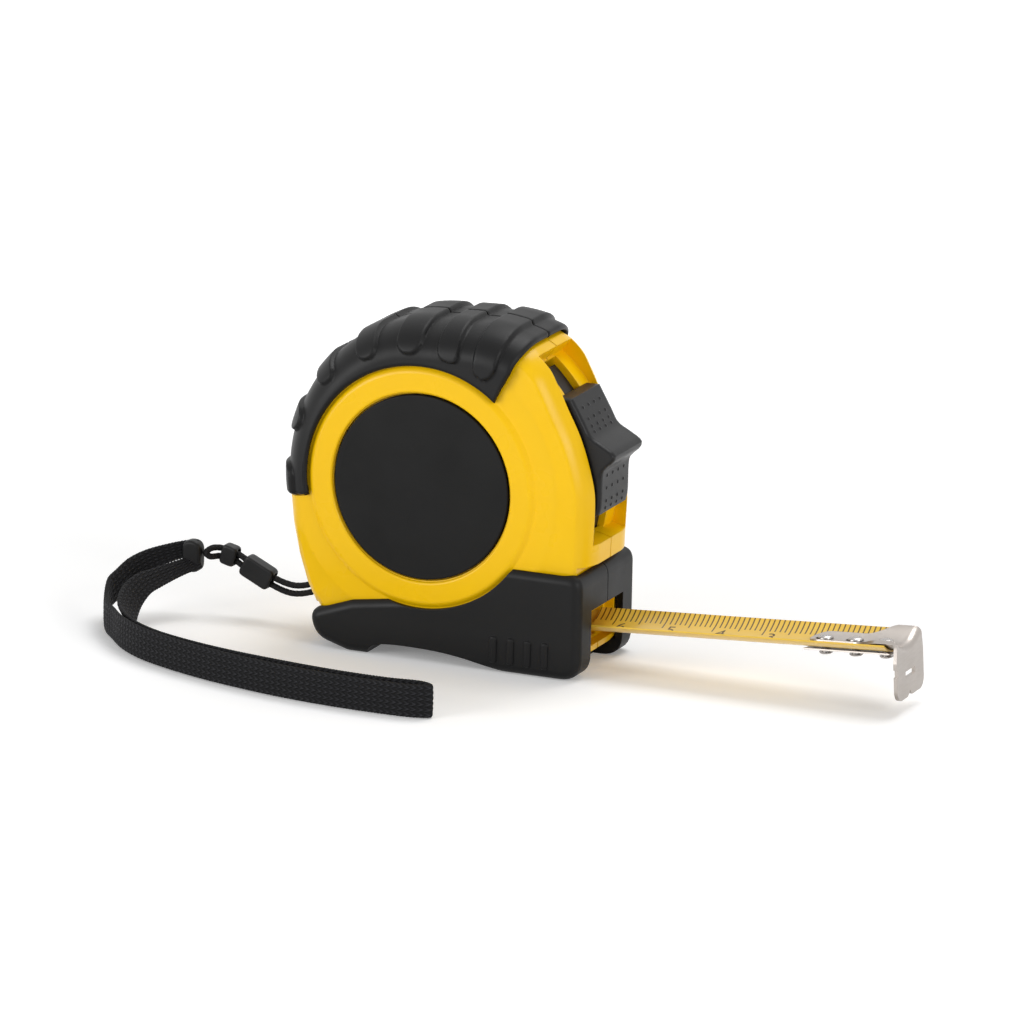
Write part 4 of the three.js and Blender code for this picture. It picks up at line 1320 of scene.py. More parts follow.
@dataclass
class Casing:
    """The yellow clam shell, its side discs and the screws from the far side."""

    back: float = 27.6
    top: float = 29.3
    half: float = 12.0
    crown: Point = (4.6, 7.6)
    nose_x: float = 31.0
    front_x: float = 32.45
    chin_z: float = 21.2
    floor_z: float = 3.4
    heel_z: float = 2.6
    cavity: float = 25.8
    cavity_half: float = 10.3
    cavity_steps: int = 160
    step: float = 27.2
    ring: Point = (18.1, 22.6)
    ring_raise: float = 0.7
    disc: float = 17.6
    disc_raise: float = 0.45
    recess: float = 31.1
    recess_half: float = 7.6
    recess_low: float = -14.0
    recess_high: float = 51.3
    slot_half: float = 3.5
    strip: Point = (28.7, 30.0)
    pin: Point = (-22.2, 9.2)
    track: Point = (-59.0, 62.0)
    mouth: tuple[Spot, Spot] = ((29.0, -7.5, 4.5), (AHEAD, 7.5, 12.6))
    way: tuple[tuple[Spot, Spot], ...] = (
        ((4.7, -7.1, 6.3), (37.0, 7.1, 10.0)), ((-19.6, -7.1, 6.9), (5.0, 7.1, 10.0)),
        ((22.0, -3.5, 5.4), (37.0, 3.5, 10.0)))
    cord_pocket: tuple[Spot, Spot] = ((-31.0, -2.2, 7.3), (-20.7, 2.2, 11.1))
    boss: Point = (4.0, 8.7)
    axle: Point = (2.9, 10.0)
    pin_bore: Point = (1.2, 5.3)
    post: Point = (1.9, 10.6)
    post_steps: int = 24
    boss_steps: int = 32
    bore: Point = (1.3, 6.8)
    seat_radius: float = 2.0
    seat_depth: float = 1.4
    seat_roof: float = 0.45
    screws: tuple[float, ...] = (0.165, 0.36, 0.565, 0.88)
    bare_screw: float = 0.565
    screw_circle: float = 24.2
    window_high: float = 50.4
    lip_angle: float = 190.8
    lip: tuple[Point, ...] = ((-29.1, 38.0), (-28.95, 28.5), (-28.3, 22.5), (-27.0, 16.5),
                              (-25.2, 11.0), (-23.0, 6.8), (-14.0, 6.8), (-14.0, 38.0))
    brow: tuple[Point, ...] = ((1.145, -0.1), (1.135, 0.1), (1.05, 0.385), (0.94, 0.605),
                               (0.875, 0.735), (0.8, 0.855), (0.66, 0.955), (0.4, 1.01),
                               (0.0, 1.0))

    def brow_curve(self) -> list[Point]:
        """Gives the front from the chin to the top."""
        return spline([(x * self.top, AXIS_HEIGHT + z * self.top) for x, z in self.brow], 7)

    def outline(self) -> list[Point]:
        """Gives the outline of the shell, seen from the side.

        Returns:
            The outline's points.
        """
        sweep, steps = 108, 64
        arc = [math.radians(90 + sweep * k / steps) for k in range(1, steps + 1)]
        back = [(self.back * math.cos(a), AXIS_HEIGHT + self.top * math.sin(a)) for a in arc]
        tail = spline([back[-1], (-26.3, 18.0), (-25.7, 13.0), (-23.4, 7.0)], 5)
        return [(self.front_x, self.floor_z), *self.brow_curve(), *back[:-1], *tail[:-2],
                (-19.5, self.heel_z), (-9.6, self.heel_z), (-7.0, self.floor_z)]

    def blank(self, grow: float = 0.0) -> Solid:
        """Gives half of the plain shell on +Y, moved outwards on request.

        Args:
            grow: How far it is moved; then it also reaches past the middle plane.

        Returns:
            The closed half.
        """
        outline = grown(self.outline(), grow) if grow else self.outline()
        shell = crowned(outline, ACROSS if grow else PARTING,
                        self.half - self.crown[1] + grow, self.crown, 14)
        chin = block((self.nose_x + grow, 2 * ACROSS, 2 * ACROSS),
                     (AHEAD, THROUGH, self.chin_z - grow))
        return worked(shell, Operation.CUT, chin)

    def ring_solid(self) -> Solid:
        """Gives the raised ring round the disc, soft outside and crisp inside.

        Returns:
            The closed solid.
        """
        inner, outer = self.ring
        foot, sunk, crisp = 0.55, 0.06, 0.45
        low, high = self.half - 0.8, self.half + self.ring_raise
        slope = [(outer + foot - 1.45 * t, self.half - sunk + (self.ring_raise + sunk)
                  * math.sin(t * math.pi / 2) ** 1.3) for t in (0, .15, .3, .45, .6, .75, .9, 1)]
        edge = [(inner + crisp * (1 - math.sin(a)), high - crisp * (1 - math.cos(a)))
                for a in (0, .3, .6, .9, 1.2, 1.5)]
        return laid_across(turned([(outer + foot, low), *slope, *edge, (inner, low)],
                                  RING_STEPS))

    def flank(self) -> Solid:
        """Gives the tool that lowers the side outside the step round the ring.

        Returns:
            The closed solid.
        """
        reach, draft, lip, lift, deep = 90.0, 0.35, 0.55, 0.02, 0.5
        low, inside = self.half - deep, self.step - lip
        return laid_across(turned([(self.step + draft, low), (reach, low), (reach, THROUGH),
                                   (inside, THROUGH), (inside, self.half + lift)],
                                  RING_STEPS))

    def hollows(self) -> list[Solid]:
        """Gives the tools for the disc's seat, the blade's way, the mouth and the lock.

        Returns:
            The closed solids.
        """
        play, deep, under, over, reach = 0.3, 1.0, 0.9, 2.0, 60.0
        low, high = self.recess_low, self.recess_high
        inner, outer = self.strip
        return [rod(self.disc + play, self.half - deep, THROUGH, steps=RING_STEPS),
                self.channel(), block(*self.mouth),
                prism(arc_band(self.recess, reach, low, high, 40), ACROSS, self.recess_half),
                prism(arc_band(inner - under, self.recess + over, low, self.window_high, 40),
                      ACROSS, self.slot_half),
                prism(arc_band(self.cavity - over, outer + play, *self.track, 60),
                      ACROSS, self.slot_half)]

    def half_shell(self, side: int) -> Solid:
        """Cuts and joins one half of the shell.

        Args:
            side: -1 for the near half, 1 for the far one.

        Returns:
            The closed half.
        """
        sunk, near, far = 0.02, 12.0, 34.0
        tail = crowned(self.lip, PARTING, self.half - self.crown[1] - sunk, self.crown, 12)
        under = [polar(near, self.lip_angle), polar(far, self.lip_angle), (-far, 0.0),
                 (-near, 0.0)]
        shell = worked(self.blank(), Operation.JOIN,
                       worked(tail, Operation.MEET, prism(under, ACROSS, THROUGH)))
        shell = worked(shell, Operation.CUT, self.flank(),
                       rod(self.cavity, ACROSS, self.cavity_half, steps=self.cavity_steps))
        shell = worked(shell, Operation.JOIN, self.ring_solid())
        shell = worked(shell, Operation.CUT, *self.hollows())
        places = [polar(self.screw_circle, 360 * share) for share in self.screws]
        radius, reach = self.post
        posts = [rod(radius, PARTING, reach, *place, self.post_steps) for place in places]
        shell = worked(shell, Operation.JOIN, rod(*self.boss, reach, steps=self.boss_steps),
                       *posts)
        radius, end = self.bore
        bores = [rod(radius, ACROSS, THROUGH if side > 0 else end, *place, self.post_steps)
                 for place in places]
        if side > 0:
            bores += [self.seat(share) for share in self.screws]
        radius, reach = self.axle
        bores += [rod(radius, ACROSS, reach, steps=self.boss_steps), block(*self.cord_pocket)]
        radius, reach = self.pin_bore
        bores.append(rod(radius, ACROSS, reach, *self.pin, self.post_steps))
        return mirrored(worked(shell, Operation.CUT, *bores), side)

    def seat(self, share: float) -> Solid:
        """Gives the tool for a screw's seat, roofed by the ring where rubber covers it.

        Args:
            share: The screw's share of the circle.

        Returns:
            The tool.
        """
        tool = rod(self.seat_radius, self.half - self.seat_depth, THROUGH,
                   *polar(self.screw_circle, 360 * share), self.boss_steps)
        if share == self.bare_screw:
            return tool
        past = 0.6
        return worked(tool, Operation.CUT,
                      rod(self.ring[1] + past, self.half - self.seat_roof, THROUGH + 1,
                          steps=RING_STEPS))

    def channel(self) -> Solid:
        """Gives the way that the blade runs in, drawn level and tilted."""
        first, *others = (block(*corners) for corners in self.way)
        return tilted(worked(first, Operation.JOIN, *others))

    def build(self, finishes: Finishes) -> None:
        """Builds the shell, the discs and the screws.

        Args:
            finishes: The materials.
        """
        for name, side in SIDES:
            Piece("shell_" + name, "case", "casing_yellow", ("casing_" + name,), 38.0).make(
                self.half_shell(side), finishes.yellow)
            Piece("insert_" + name, "case", "disc_black", ("side_disc_" + name,)).make(
                mirrored(self.insert(), side), finishes.disc)
        for index, share in enumerate(self.screws, 1):
            Piece(f"shell_screw_{index}", "case", "fastener_steel",
                  (f"case_screw_{index}",)).make(self.screw(share), finishes.fastener)

    def insert(self) -> Solid:
        """Gives the flat round insert, with a fine bevel at its rim.

        Returns:
            The closed solid.
        """
        low, high, bevel = self.half - 0.7, self.half + self.disc_raise, 0.3
        edge = [(self.disc - bevel * (1 - math.cos(a)), high - bevel * (1 - math.sin(a)))
                for a in (0, .4, .8, 1.2, math.pi / 2)]
        return laid_across(turned([(0, low), (self.disc, low), *edge, (0, high)], RING_STEPS,
                                  False))

    def screw(self, share: float) -> Solid:
        """Gives a pan-head screw with a cross recess, at its share of the circle.

        Args:
            share: Its share of the circle.

        Returns:
            The closed solid.
        """
        head, wide, shank, tip, soft = self.half - 1.1, 1.7, 1.0, -6.5, 0.35
        rim, rise, blunt, point, slot = 0.15, 0.55, 0.6, 0.7, 0.2
        dome = [(wide - soft * (1 - math.cos(a)), head + rim + soft * math.sin(a))
                for a in (0, .5, 1.0, math.pi / 2)]
        body = turned([(0, tip), (blunt, tip), (shank, tip + point), (shank, head),
                       (wide, head), *dome, (0, head + rise)], 40, False)
        low = head + 0.1
        body = worked(body, Operation.CUT, block((-shank, -slot, low), (shank, slot, THROUGH)),
                      block((-slot, -shank, low), (slot, shank, THROUGH)))
        swung(body, share * 20, "Z")
        return laid_across(body, *polar(self.screw_circle, 360 * share))


# Rubber jacket

@dataclass
class TopGrip:
    """The rubber over the back, with raised pads across it."""

    casing: Casing
    rubber: float = 1.5
    skin: float = 0.9
    least: float = 0.35
    edge: float = 0.8
    seam_edge: float = 0.25
    pad_raise: float = 0.8
    pad_corner: float = 2.7
    pad_groove: float = 0.16
    pad_round: float = 0.85
    pad_foot: float = 0.12
    pad_slope: float = 0.5
    ring_edge: float = 23.1
    pad_end: float = 25.2
    girth: float = 28.5
    front_angle: float = 54.5
    front_degree: float = 0.51
    rear_degree: float = 0.48
    rear: float = 190.0
    rear_rise: float = 4.0
    top_share: float = 0.2
    shoulder_share: float = 0.62
    brow: tuple[Point, ...] = ((23.1, 50.7), (24.6, 52.4), (26.6, 53.9), (28.6, 54.8),
                               (30.7, 55.1), (33.0, 54.8), (38.0, 54.6))
    pads: tuple[Point, ...] = ((60.5, 70.0), (75.5, 84.0), (90.0, 101.0), (110.0, 119.5),
                               (131.5, 141.0), (154.0, 164.5), (177.5, 196.0))
    reach_from: float = 20.0
    reach_to: float = 215.0
    arc: float = 9.7
    along: int = 300
    across: int = 84

    def __post_init__(self) -> None:
        """Measures the shell's reach at each angle."""
        table = []
        for x, z in self.casing.outline():
            angle = math.degrees(math.atan2(z - AXIS_HEIGHT, x)) % 360
            if self.reach_from < angle < self.reach_to:
                table.append((angle, math.hypot(x, z - AXIS_HEIGHT)))
        table.sort()
        self.angles = [row[0] for row in table]
        self.reaches = [row[1] for row in table]

    def reach(self, angle: float) -> float:
        """Gives the distance from the axis to the shell's outline at an angle.

        Args:
            angle: The angle in degrees.

        Returns:
            The distance.
        """
        at = min(max(1, bisect_left(self.angles, angle)), len(self.angles) - 1)
        low, high = self.angles[at - 1], self.angles[at]
        share = (angle - low) / max(high - low, 1e-6)
        return self.reaches[at - 1] + (self.reaches[at] - self.reaches[at - 1]) * share

    def front(self, radius: float) -> float:
        """Gives the angle of the grip's front edge at a distance from the axis.

        Args:
            radius: The distance.

        Returns:
            The angle in degrees.
        """
        if radius <= self.brow[0][0]:
            return self.brow[0][1]
        for (r0, a0), (r1, a1) in zip(self.brow, self.brow[1:]):
            if radius <= r1:
                share = (radius - r0) / (r1 - r0)
                return a0 + (a1 - a0) * share
        return self.brow[-1][1]

    def relief(self, angle: float, down: float) -> float:
        """Gives how far a pad stands up.

        Args:
            angle: Angle round the axis in degrees.
            down: Distance from the middle line, over the shoulder.

        Returns:
            The height above the plain rubber.
        """
        reach = self.reach(angle)
        flat = self.casing.half - self.casing.crown[1] - PARTING
        if reach - self.casing.crown[0] > self.pad_end:
            end = flat + self.arc + reach - self.casing.crown[0] - self.pad_end
        else:
            end = flat + self.arc * math.acos(
                max(-1.0, 1 - (reach - self.pad_end) / self.casing.crown[0])) / (math.pi / 2)
        height = 0.0
        for low, high in self.pads:
            half = math.radians(high - low) * self.girth / 2
            corner = min(half * self.pad_round, self.pad_corner)
            side = abs(math.radians(angle - (low + high) / 2) * self.girth) - half + corner
            below = down - end + corner
            gap = math.hypot(max(side, 0), max(below, 0)) + min(max(side, below), 0) - corner
            height = max(height, self.pad_raise * eased((self.pad_foot - gap) / self.pad_slope))
            groove = self.pad_groove
            height -= groove * math.exp(-((gap - groove) / groove) ** 2)
        return height

    @staticmethod
    def droop(distance: float, radius: float) -> float:
        """Gives how far a rounded edge falls at a distance from the edge.

        Args:
            distance: The distance.
            radius: The edge's radius.

        Returns:
            The fall.
        """
        if distance >= radius:
            return 0.0
        return radius - math.sqrt(max(0.0, radius ** 2 - (radius - max(distance, 0)) ** 2))

    def surface(self, run: float, fall: float) -> Vector:
        """Gives a point of the outer skin.

        Args:
            run: Share from the front edge to the rear.
            fall: Share from the middle line to the ring.

        Returns:
            The point on the +Y side.
        """
        crown, wide = self.casing.crown
        flat = self.casing.half - wide
        flank_from = self.top_share + self.shoulder_share
        turn = min(1.0, max(0.0, (fall - self.top_share) / self.shoulder_share)) * math.pi / 2
        inset = crown * (1 - math.cos(turn))
        share = max(0.0, (fall - flank_from) / (1 - flank_from))
        brow = self.reach(self.front_angle)
        front = self.front(brow - inset - share * (brow - crown - self.ring_edge))
        rear = self.rear - self.rear_rise * share * share
        angle = front + (rear - front) * run
        reach = self.reach(angle)
        step = 0.4
        slope = (self.reach(angle + step) - self.reach(angle - step)) / math.radians(2 * step)
        radial = Vector((math.cos(math.radians(angle)), math.sin(math.radians(angle))))
        normal = (radial - Vector((-radial.y, radial.x)) * slope / reach).normalized()
        edge = radial * reach - normal * inset
        run_flat = min(fall / self.top_share, 1) * (flat - PARTING)
        across = run_flat + PARTING + wide * math.sin(turn)
        down = run_flat + self.arc * turn / (math.pi / 2)
        flank = max(0.05, edge.length - self.ring_edge)
        if share > 0:
            edge = edge.lerp(edge.normalized() * self.ring_edge, share)
            down += flank * share
        up = wide * math.cos(turn)
        out = crown * math.sin(turn)
        size = math.hypot(up, out)
        height = self.rubber + self.relief(angle, down)
        whole = flat - PARTING + self.arc + flank
        for distance in ((angle - front) * self.front_degree,
                         (rear - angle) * self.rear_degree, whole - down):
            height -= self.droop(distance, self.edge)
        height = max(height - self.droop(down, self.seam_edge), self.least)
        point = edge + normal * (height * up / size)
        return Vector((point.x, across + height * out / size, point.y + AXIS_HEIGHT))

    def build(self, finishes: Finishes) -> None:
        """Builds both halves.

        Args:
            finishes: The materials.
        """
        for name, side in SIDES:
            sheet = wrapped(self.along, self.across, self.surface)
            facing(sheet, lambda c: Vector((c.x, 0, c.z - AXIS_HEIGHT)))
            solid = mirrored(walled(sheet, self.skin), side)
            Piece("back_grip_" + name, "case", "jacket_rubber", ("top_grip_" + name,),
                  50.0).make(solid, finishes.rubber, weighted=False)


@dataclass
class BaseGrip:
    """The rubber foot, open at the mouth, with ribs on its sides."""

    casing: Casing
    play: float = 0.3
    half: float = 13.3
    edge: float = 1.8
    front_x: float = 32.8
    shoulder_z: float = 20.2
    ring_edge: float = 23.1
    rib_count: int = 4
    rib_first: float = 15.6
    rib_pitch: float = 3.45
    rib_width: float = 1.5
    rib_low: float = 1.8
    rib_top: float = 7.0
    rib_raise: float = 0.45
    rib_root: float = 0.6
    rib_edge: float = 0.4
    mouth: tuple[Spot, Spot] = ((27.0, ACROSS, ACROSS), (AHEAD, 7.5, 12.6))

    def outline(self) -> list[Point]:
        """Gives the foot's outline, seen from the side."""
        return rounded([(self.front_x, 0.0, 4.2), (self.front_x, self.shoulder_z, 2.7),
                        (11.55, self.shoulder_z, 4.5), (0.0, 12.2, 9.0), (-13.6, 10.2, 6.0),
                        (-22.6, 7.0, 2.6), (-21.2, 2.0, 5.5), (-14.6, 0.0, 4.0)], 8)

    def arch(self) -> list[Point]:
        """Gives the hollow between the heel and the toe."""
        top = spline([(-10.6, 0.0), (-9.7, 1.3), (-8.2, 2.2), (-4.0, 2.6), (3.0, 2.5),
                      (9.0, 1.9), (14.0, 0.9), (18.0, 0.0)], 5)
        return [(-11.2, -2.0), *top, (20.0, -2.0)]

    def rib(self, index: int) -> Solid:
        """Gives one upright rib with a round top.

        Args:
            index: Its number from the rear, from 0.

        Returns:
            The closed solid.
        """
        outline = oblong(self.rib_first + self.rib_pitch * index,
                         (self.rib_low + self.rib_top) / 2, self.rib_width,
                         self.rib_top - self.rib_low, self.rib_width / 2, 8)
        return crowned(outline, self.half - self.rib_root,
                       self.half + self.rib_raise - self.rib_edge,
                       (self.rib_edge, self.rib_edge), 5)

    def build(self, finishes: Finishes) -> None:
        """Builds both halves.

        Args:
            finishes: The materials.
        """
        for name, side in SIDES:
            body = crowned(self.outline(), PARTING, self.half - self.edge,
                           (self.edge, self.edge), 8)
            body = worked(body, Operation.JOIN, *(self.rib(k) for k in range(self.rib_count)))
            body = worked(body, Operation.CUT, self.casing.blank(self.play),
                          rod(self.ring_edge, ACROSS, THROUGH, steps=RING_STEPS),
                          block(*self.mouth), prism(self.arch(), ACROSS, THROUGH),
                          block(*self.casing.cord_pocket))
            Piece("foot_grip_" + name, "case", "jacket_rubber", ("base_grip_" + name,),
                  40.0).make(mirrored(body, side), finishes.rubber)


# Lock

@dataclass
class Lock:
    """The thumb slide and the strip behind it, which turn round the spool's axis."""

    casing: Casing
    play: float = 0.3
    half: float = 7.0
    edge: float = 1.1
    gap_share: float = 0.6
    draw: float = 0.605
    rise: float = 6.0
    low: float = -7.0
    high: float = 37.0
    arc: Point = (-38.0, 48.5)
    strip_half: float = 3.0
    pip: float = 0.36
    pip_height: float = 0.45
    pip_steps: tuple[int, ...] = (4, 7, 10, 13, 50, 53, 56, 59)
    pip_rows: tuple[float, ...] = (-3.9, -1.3, 1.3, 3.9)
    shape: tuple[Point, ...] = ((0.35, -0.12), (0.4, -0.03), (0.475, 0.22), (0.625, 0.28),
                                (0.95, 0.335), (1, 0.39), (0.7, 0.475), (0.4, 0.57),
                                (0.34, 0.7), (0.34, 0.93))

    @property
    def seat(self) -> float:
        """The radius that the button slides on."""
        return self.casing.recess + self.play

    def face(self) -> list[Point]:
        """Gives the face under the thumb, from its low end to its high end."""
        points = [polar(self.seat + self.rise * rise, self.high * angle)
                  for rise, angle in self.shape]
        return spline(points, 7)

    def outline(self) -> list[Point]:
        """Gives the button's outline, seen from the side.

        Returns:
            The outline's points.
        """
        steps = 20
        seat = [polar(self.seat, self.high + (self.low - self.high) * k / steps)
                for k in range(steps + 1)]
        return thinned([*self.face(), *seat], self.gap_share * self.edge)

    def pips(self) -> Solid:
        """Gives the small raised dots on the two faces under the thumb.

        Returns:
            The dots as one solid.
        """
        face = self.face()
        dots = bmesh.new()
        for index in self.pip_steps:
            here, ahead = Vector(face[index]), Vector(face[index + 1])
            slope, middle = ahead - here, (here + ahead) / 2
            turn = Matrix.Rotation(-math.atan2(slope.y, slope.x), 4, "Y")
            for y in self.pip_rows:
                place = Matrix.Translation((middle.x, y, middle.y)) @ turn
                bmesh.ops.create_uvsphere(
                    dots, u_segments=12, v_segments=8, radius=self.pip,
                    matrix=place @ Matrix.Diagonal((1, 1, self.pip_height, 1)))
        return dots

    def build(self, finishes: Finishes) -> None:
        """Builds the button and the strip.

        Args:
            finishes: The materials.
        """
        button = worked(pillow(self.outline(), self.half, (self.draw, self.edge), 6),
                        Operation.JOIN, self.pips())
        Piece("thumb_slide", "lock", "black_plastic", ("lock_button",)).make(
            button, finishes.black)
        strip = prism(arc_band(*self.casing.strip, *self.arc, 72), -self.strip_half,
                      self.strip_half)
        Piece("slide_strip", "lock", "black_plastic", ("lock_strip",)).make(
            strip, finishes.black)


# Blade and hook

def tilted(solid: Solid) -> Solid:
    """Tilts a solid of the blade, drawn level, about the mouth."""
    return swung(solid, -math.radians(BLADE_SLOPE), "Y", BLADE_MOUTH)


@dataclass
class Blade:
    """The cupped strip outside the mouth, with its printed scale."""

    rear: float = 29.0
    end: float = 90.5
    zero: float = 93.0
    bottom: float = 7.2
    cup: float = 11.0
    half_angle: float = math.asin(6.6 / 11.0)
    thickness: float = 0.3
    along: int = 160
    across: int = 28
    rivets: tuple[float, ...] = (76.5, 82.45, 88.4)
    hole: float = 1.1
    figure: float = 2.7
    cap_share: float = 0.7
    cut_pitch: float = 0.4
    figures_shown: int = 6
    figure_place: Point = (1.9, 0.2)
    ink: float = 0.01

    def build(self, finishes: Finishes) -> None:
        """Builds the strip and the figures on it.

        Args:
            finishes: The materials.
        """
        radius = self.cup - self.thickness

        def place(run: float, turn: float) -> Vector:
            """Puts one point on the strip's upper skin."""
            angle = (2 * turn - 1) * self.half_angle
            return Vector((self.rear + (self.end - self.rear) * run, radius * math.sin(angle),
                           self.bottom + self.cup - radius * math.cos(angle)))

        def lay(run: float, turn: float) -> Point:
            """Gives the millimetres from the hook and across."""
            return (self.zero - self.rear - (self.end - self.rear) * run,
                    (2 * turn - 1) * self.half_angle * self.cup)

        sheet = wrapped(self.along, self.across, place, lay)
        facing(sheet, lambda _c: Vector((0, 0, 1)))
        strip = walled(sheet, self.thickness, 1)
        Piece("scale_strip", "blade", "blade_lacquer", ("blade",)).make(
            tilted(worked(strip, Operation.CUT, *self.holes())),
            finishes.printed, finishes.lacquer, weighted=False)
        self.figures(finishes)

    def holes(self, stretch: float = 0.0) -> list[Solid]:
        """Gives the tools for the rivets' holes, drawn out towards the case on request.

        Args:
            stretch: How far they are drawn out.

        Returns:
            One tool for each rivet.
        """
        tools = []
        for x in self.rivets:
            tool = bar(self.hole, 8, 32)
            for vert in tool.verts:
                if vert.co.x < 0:
                    vert.co.x -= stretch
            tools.append(moved(tool, x, 0, self.bottom))
        return tools

    def figures(self, finishes: Finishes) -> None:
        """Prints a plain figure at each centimetre, in the middle of the cup.

        Args:
            finishes: The materials.
        """
        ink = bmesh.new()
        radius = self.cup - self.thickness - 1.2 * self.ink
        ahead, up = self.figure_place
        for number in range(1, self.figures_shown + 1):
            curve = bpy.data.curves.new("figure", "FONT")
            curve.body, curve.align_x = str(number), "CENTER"
            curve.size = self.figure / self.cap_share
            curve.resolution_u = 6
            holder = placed("figure", curve)
            mesh = bpy.data.meshes.new_from_object(shown(holder))
            bpy.data.objects.remove(holder)
            bpy.data.curves.remove(curve)
            figure = bmesh.new()
            figure.from_mesh(mesh)
            moved(figure, self.zero - 10 * number + ahead, up, 0)
            for row in range(-2, 10):
                bmesh.ops.bisect_plane(figure, plane_co=(0, row * self.cut_pitch, 0),
                                       plane_no=(0, 1, 0),
                                       geom=figure.verts[:] + figure.edges[:] + figure.faces[:])
            figure.to_mesh(mesh)
            figure.free()
            ink.from_mesh(mesh)
            bpy.data.meshes.remove(mesh)
        for vert in ink.verts:
            angle = vert.co.y / self.cup
            vert.co.y = radius * math.sin(angle)
            vert.co.z = self.bottom + self.cup - radius * math.cos(angle)
        facing(ink, lambda _c: Vector((0, 0, 1)))
        Piece("scale_figures", "blade", "blade_lacquer").make(
            tilted(walled(ink, self.ink)), finishes.ink, weighted=False)


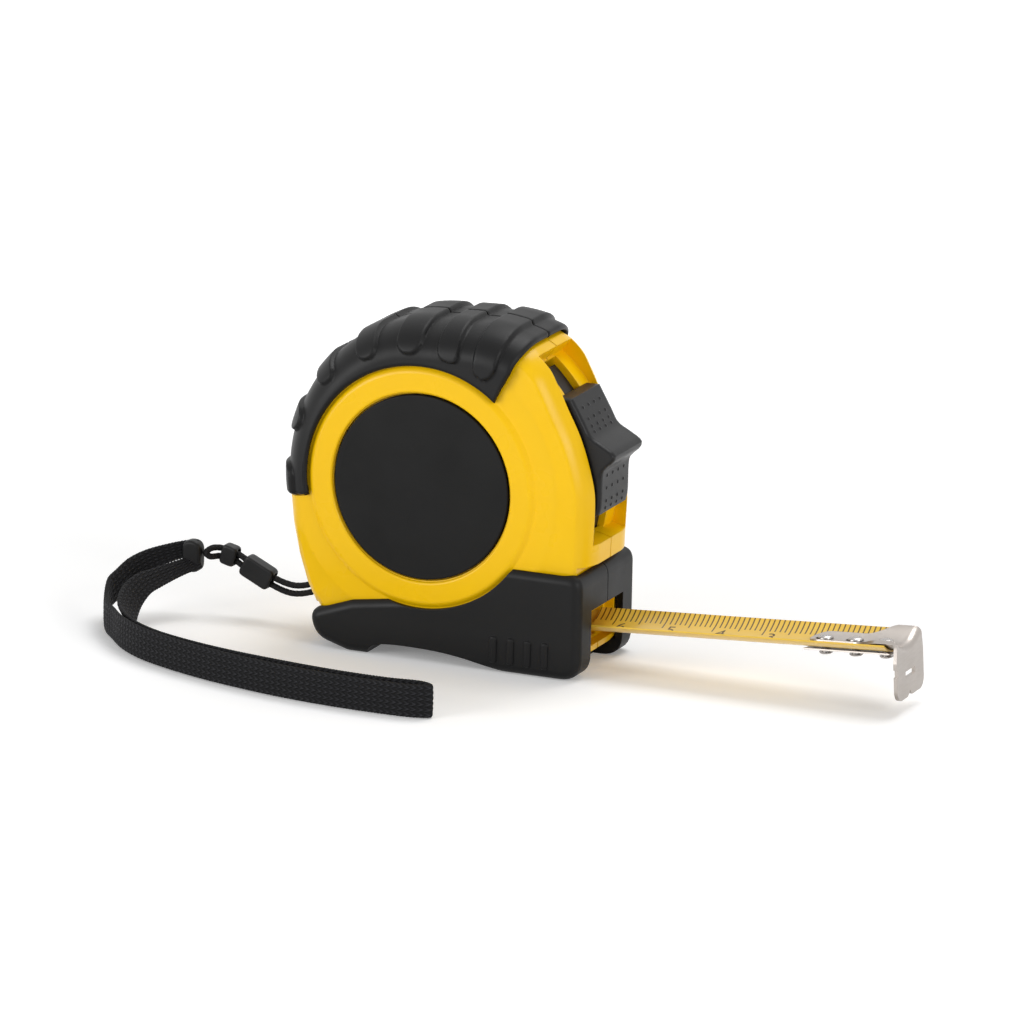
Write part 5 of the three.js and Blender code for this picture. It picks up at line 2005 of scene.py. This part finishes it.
@dataclass
class Hook:
    """The bent plate at the blade's end, which floats on its rivets, and the rivets."""

    blade: Blade
    tang_start: float = 73.6
    tang_half: float = 3.2
    flare: float = 83.2
    shoulder: float = 89.0
    shoulder_half: float = 5.8
    face_x: float = 93.0
    face_half: float = 6.7
    plate: float = 0.7
    bend: float = 1.5
    rim: float = 9.4
    drop: float = 10.5
    corner: float = 2.2
    gap: float = 0.3
    play: float = 0.8
    widened: float = 0.4
    tang_share: float = 0.6
    bend_share: float = 0.15
    tip_share: float = 0.12
    spread_share: float = 0.35
    along: int = 150
    across: int = 56
    slot: Spot = (6.2, 0.6, 2.4)
    nick: Spot = (5.0, 0.7, 0.6)
    notch: Spot = (-0.4, 1.0, 1.1)

    def half_width(self, x: float) -> float:
        """Gives half the tang's width at a distance along the blade.

        Args:
            x: The distance from the spool's axis.

        Returns:
            Half the width.
        """
        start = self.tang_start + self.tang_half
        if x < start:
            return math.sqrt(max(0.0, self.tang_half ** 2 - (start - x) ** 2))
        share = eased((x - self.flare) / (self.shoulder - self.flare))
        return self.tang_half + (self.shoulder_half - self.tang_half) * share

    def top_z(self, y: float) -> float:
        """Gives the height of the tang's upper skin across the cup."""
        radius = self.blade.cup - self.blade.thickness - self.gap - self.plate
        return self.blade.bottom + self.blade.cup - math.sqrt(radius * radius - y * y)

    def foot_z(self, y: float) -> float:
        """Gives the height of the face's lower edge, with its round corners and notch.

        Args:
            y: The place across.

        Returns:
            The height before the blade is tilted.
        """
        foot = self.rim - self.drop
        out = abs(y) - (self.face_half - self.corner)
        if out > 0:
            foot += self.corner - math.sqrt(max(0.0, self.corner ** 2 - out * out))
        middle, half, depth = self.notch
        return foot + depth * max(0.0, 1 - abs(y - middle) / half)

    def place(self, run: float, turn: float) -> Vector:
        """Puts one point on the outer skin: along the tang, round the bend, down the face.

        Args:
            run: Share from the tang's tip to the face's foot.
            turn: Share across.

        Returns:
            The point before the blade is tilted.
        """
        spread = math.sin((2 * turn - 1) * math.pi / 2)
        bend_x = self.face_x - self.bend
        face_from = self.tang_share + self.bend_share
        bent_half = self.shoulder_half + self.widened
        if run < self.tang_share:
            share = run / self.tang_share
            if share < self.tip_share:
                share *= share / self.tip_share
            x = self.tang_start + (bend_x - self.tang_start) * share
            y = spread * self.half_width(x)
            return Vector((x, y, self.top_z(y)))
        if run < face_from:
            share = (run - self.tang_share) / self.bend_share
            y = spread * (self.shoulder_half + self.widened * share)
            angle = share * math.pi / 2
            return Vector((bend_x + self.bend * math.sin(angle), y,
                           self.top_z(y) - self.bend * (1 - math.cos(angle))))
        share = (run - face_from) / (1 - face_from)
        y = spread * (bent_half + (self.face_half - bent_half)
                      * min(1.0, share / self.spread_share))
        top = self.top_z(spread * bent_half) - self.bend
        return Vector((self.face_x, y, top + (self.foot_z(y) - top) * share))

    def build(self, finishes: Finishes) -> None:
        """Builds the hook and its rivets.

        Args:
            finishes: The materials.
        """
        sheet = wrapped(self.along, self.across, self.place)
        bmesh.ops.remove_doubles(sheet, verts=sheet.verts[:], dist=1e-3)
        sheet.faces.ensure_lookup_table()
        facing(sheet, lambda c: Vector((1, 0, 1)))
        plate = walled(sheet, self.plate)
        start, end = self.shoulder - 1, self.face_x + 3
        drop, high, wide = self.slot
        tools = [block((start, -wide, self.rim - drop - high), (end, wide, self.rim - drop + high))]
        drop, high, deep = self.nick
        tools.append(block((start, -9, self.rim - drop - high),
                           (end, deep - self.face_half, self.rim - drop + high)))
        plate = worked(plate, Operation.CUT, *tools, *self.blade.holes(self.play))
        Piece("pull_hook", "hook", "hook_steel", ("end_hook",), 40.0).make(
            tilted(plate), finishes.hook)
        for index, x in enumerate(self.blade.rivets, 1):
            Piece(f"hook_stud_{index}", "blade", "fastener_steel",
                  (f"hook_rivet_{index}",)).make(self.rivet(x), finishes.fastener)

    def rivet(self, x: float) -> Solid:
        """Gives a rivet with a domed head and an upset tail.

        Args:
            x: Its place along the blade.

        Returns:
            The closed solid.
        """
        head, tail = self.blade.bottom + 1.4, self.blade.bottom - 1.2
        shank, wide, upset = 0.8, 1.45, 1.3
        dome = [(wide * math.cos(a), head + 0.12 + 0.48 * math.sin(a))
                for a in (0, .25, .5, .75, 1.0, 1.25)]
        profile = [(0, tail - 0.3), (upset - 0.2, tail - 0.3), (upset, tail - 0.1),
                   (upset, tail), (shank, tail), (shank, head), (wide, head), *dome,
                   (0, head + 0.6)]
        return tilted(moved(turned(profile, 40, False), x, 0, 0))


def dress(frame: dict[str, object], finishes: Finishes) -> None:
    """Gives each CAD node that stays its material.

    Args:
        finishes: The materials.
    """
    kept: dict[str, Material] = {
        "spool": finishes.spool, "spool_cover": finishes.spool,
        "spool_post": finishes.fastener, "power_spring": finishes.spring,
        "wound_blade": finishes.lacquer, "blade_lead": finishes.lacquer,
        "hook_backing_plate": finishes.hook, "lock_stem": finishes.black,
        "brake_pad": finishes.rubber, "strap_pin": finishes.fastener,
    }
    for name, material in kept.items():
        mesh = frame["nodes"][name].data
        mesh.materials.clear()
        mesh.materials.append(material)


def main() -> None:
    """Builds the scene in order: camera and strap first, then the tape itself."""
    logging.basicConfig(level=logging.INFO, format="%(message)s")
    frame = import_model()
    Studio().build()
    finishes = Finishes()
    WristStrap().build(finishes)
    casing = Casing()
    casing.build(finishes)
    TopGrip(casing).build(finishes)
    BaseGrip(casing).build(finishes)
    Lock(casing).build(finishes)
    blade = Blade()
    blade.build(finishes)
    Hook(blade).build(finishes)
    dress(frame, finishes)


if __name__ == "__main__":
    main()
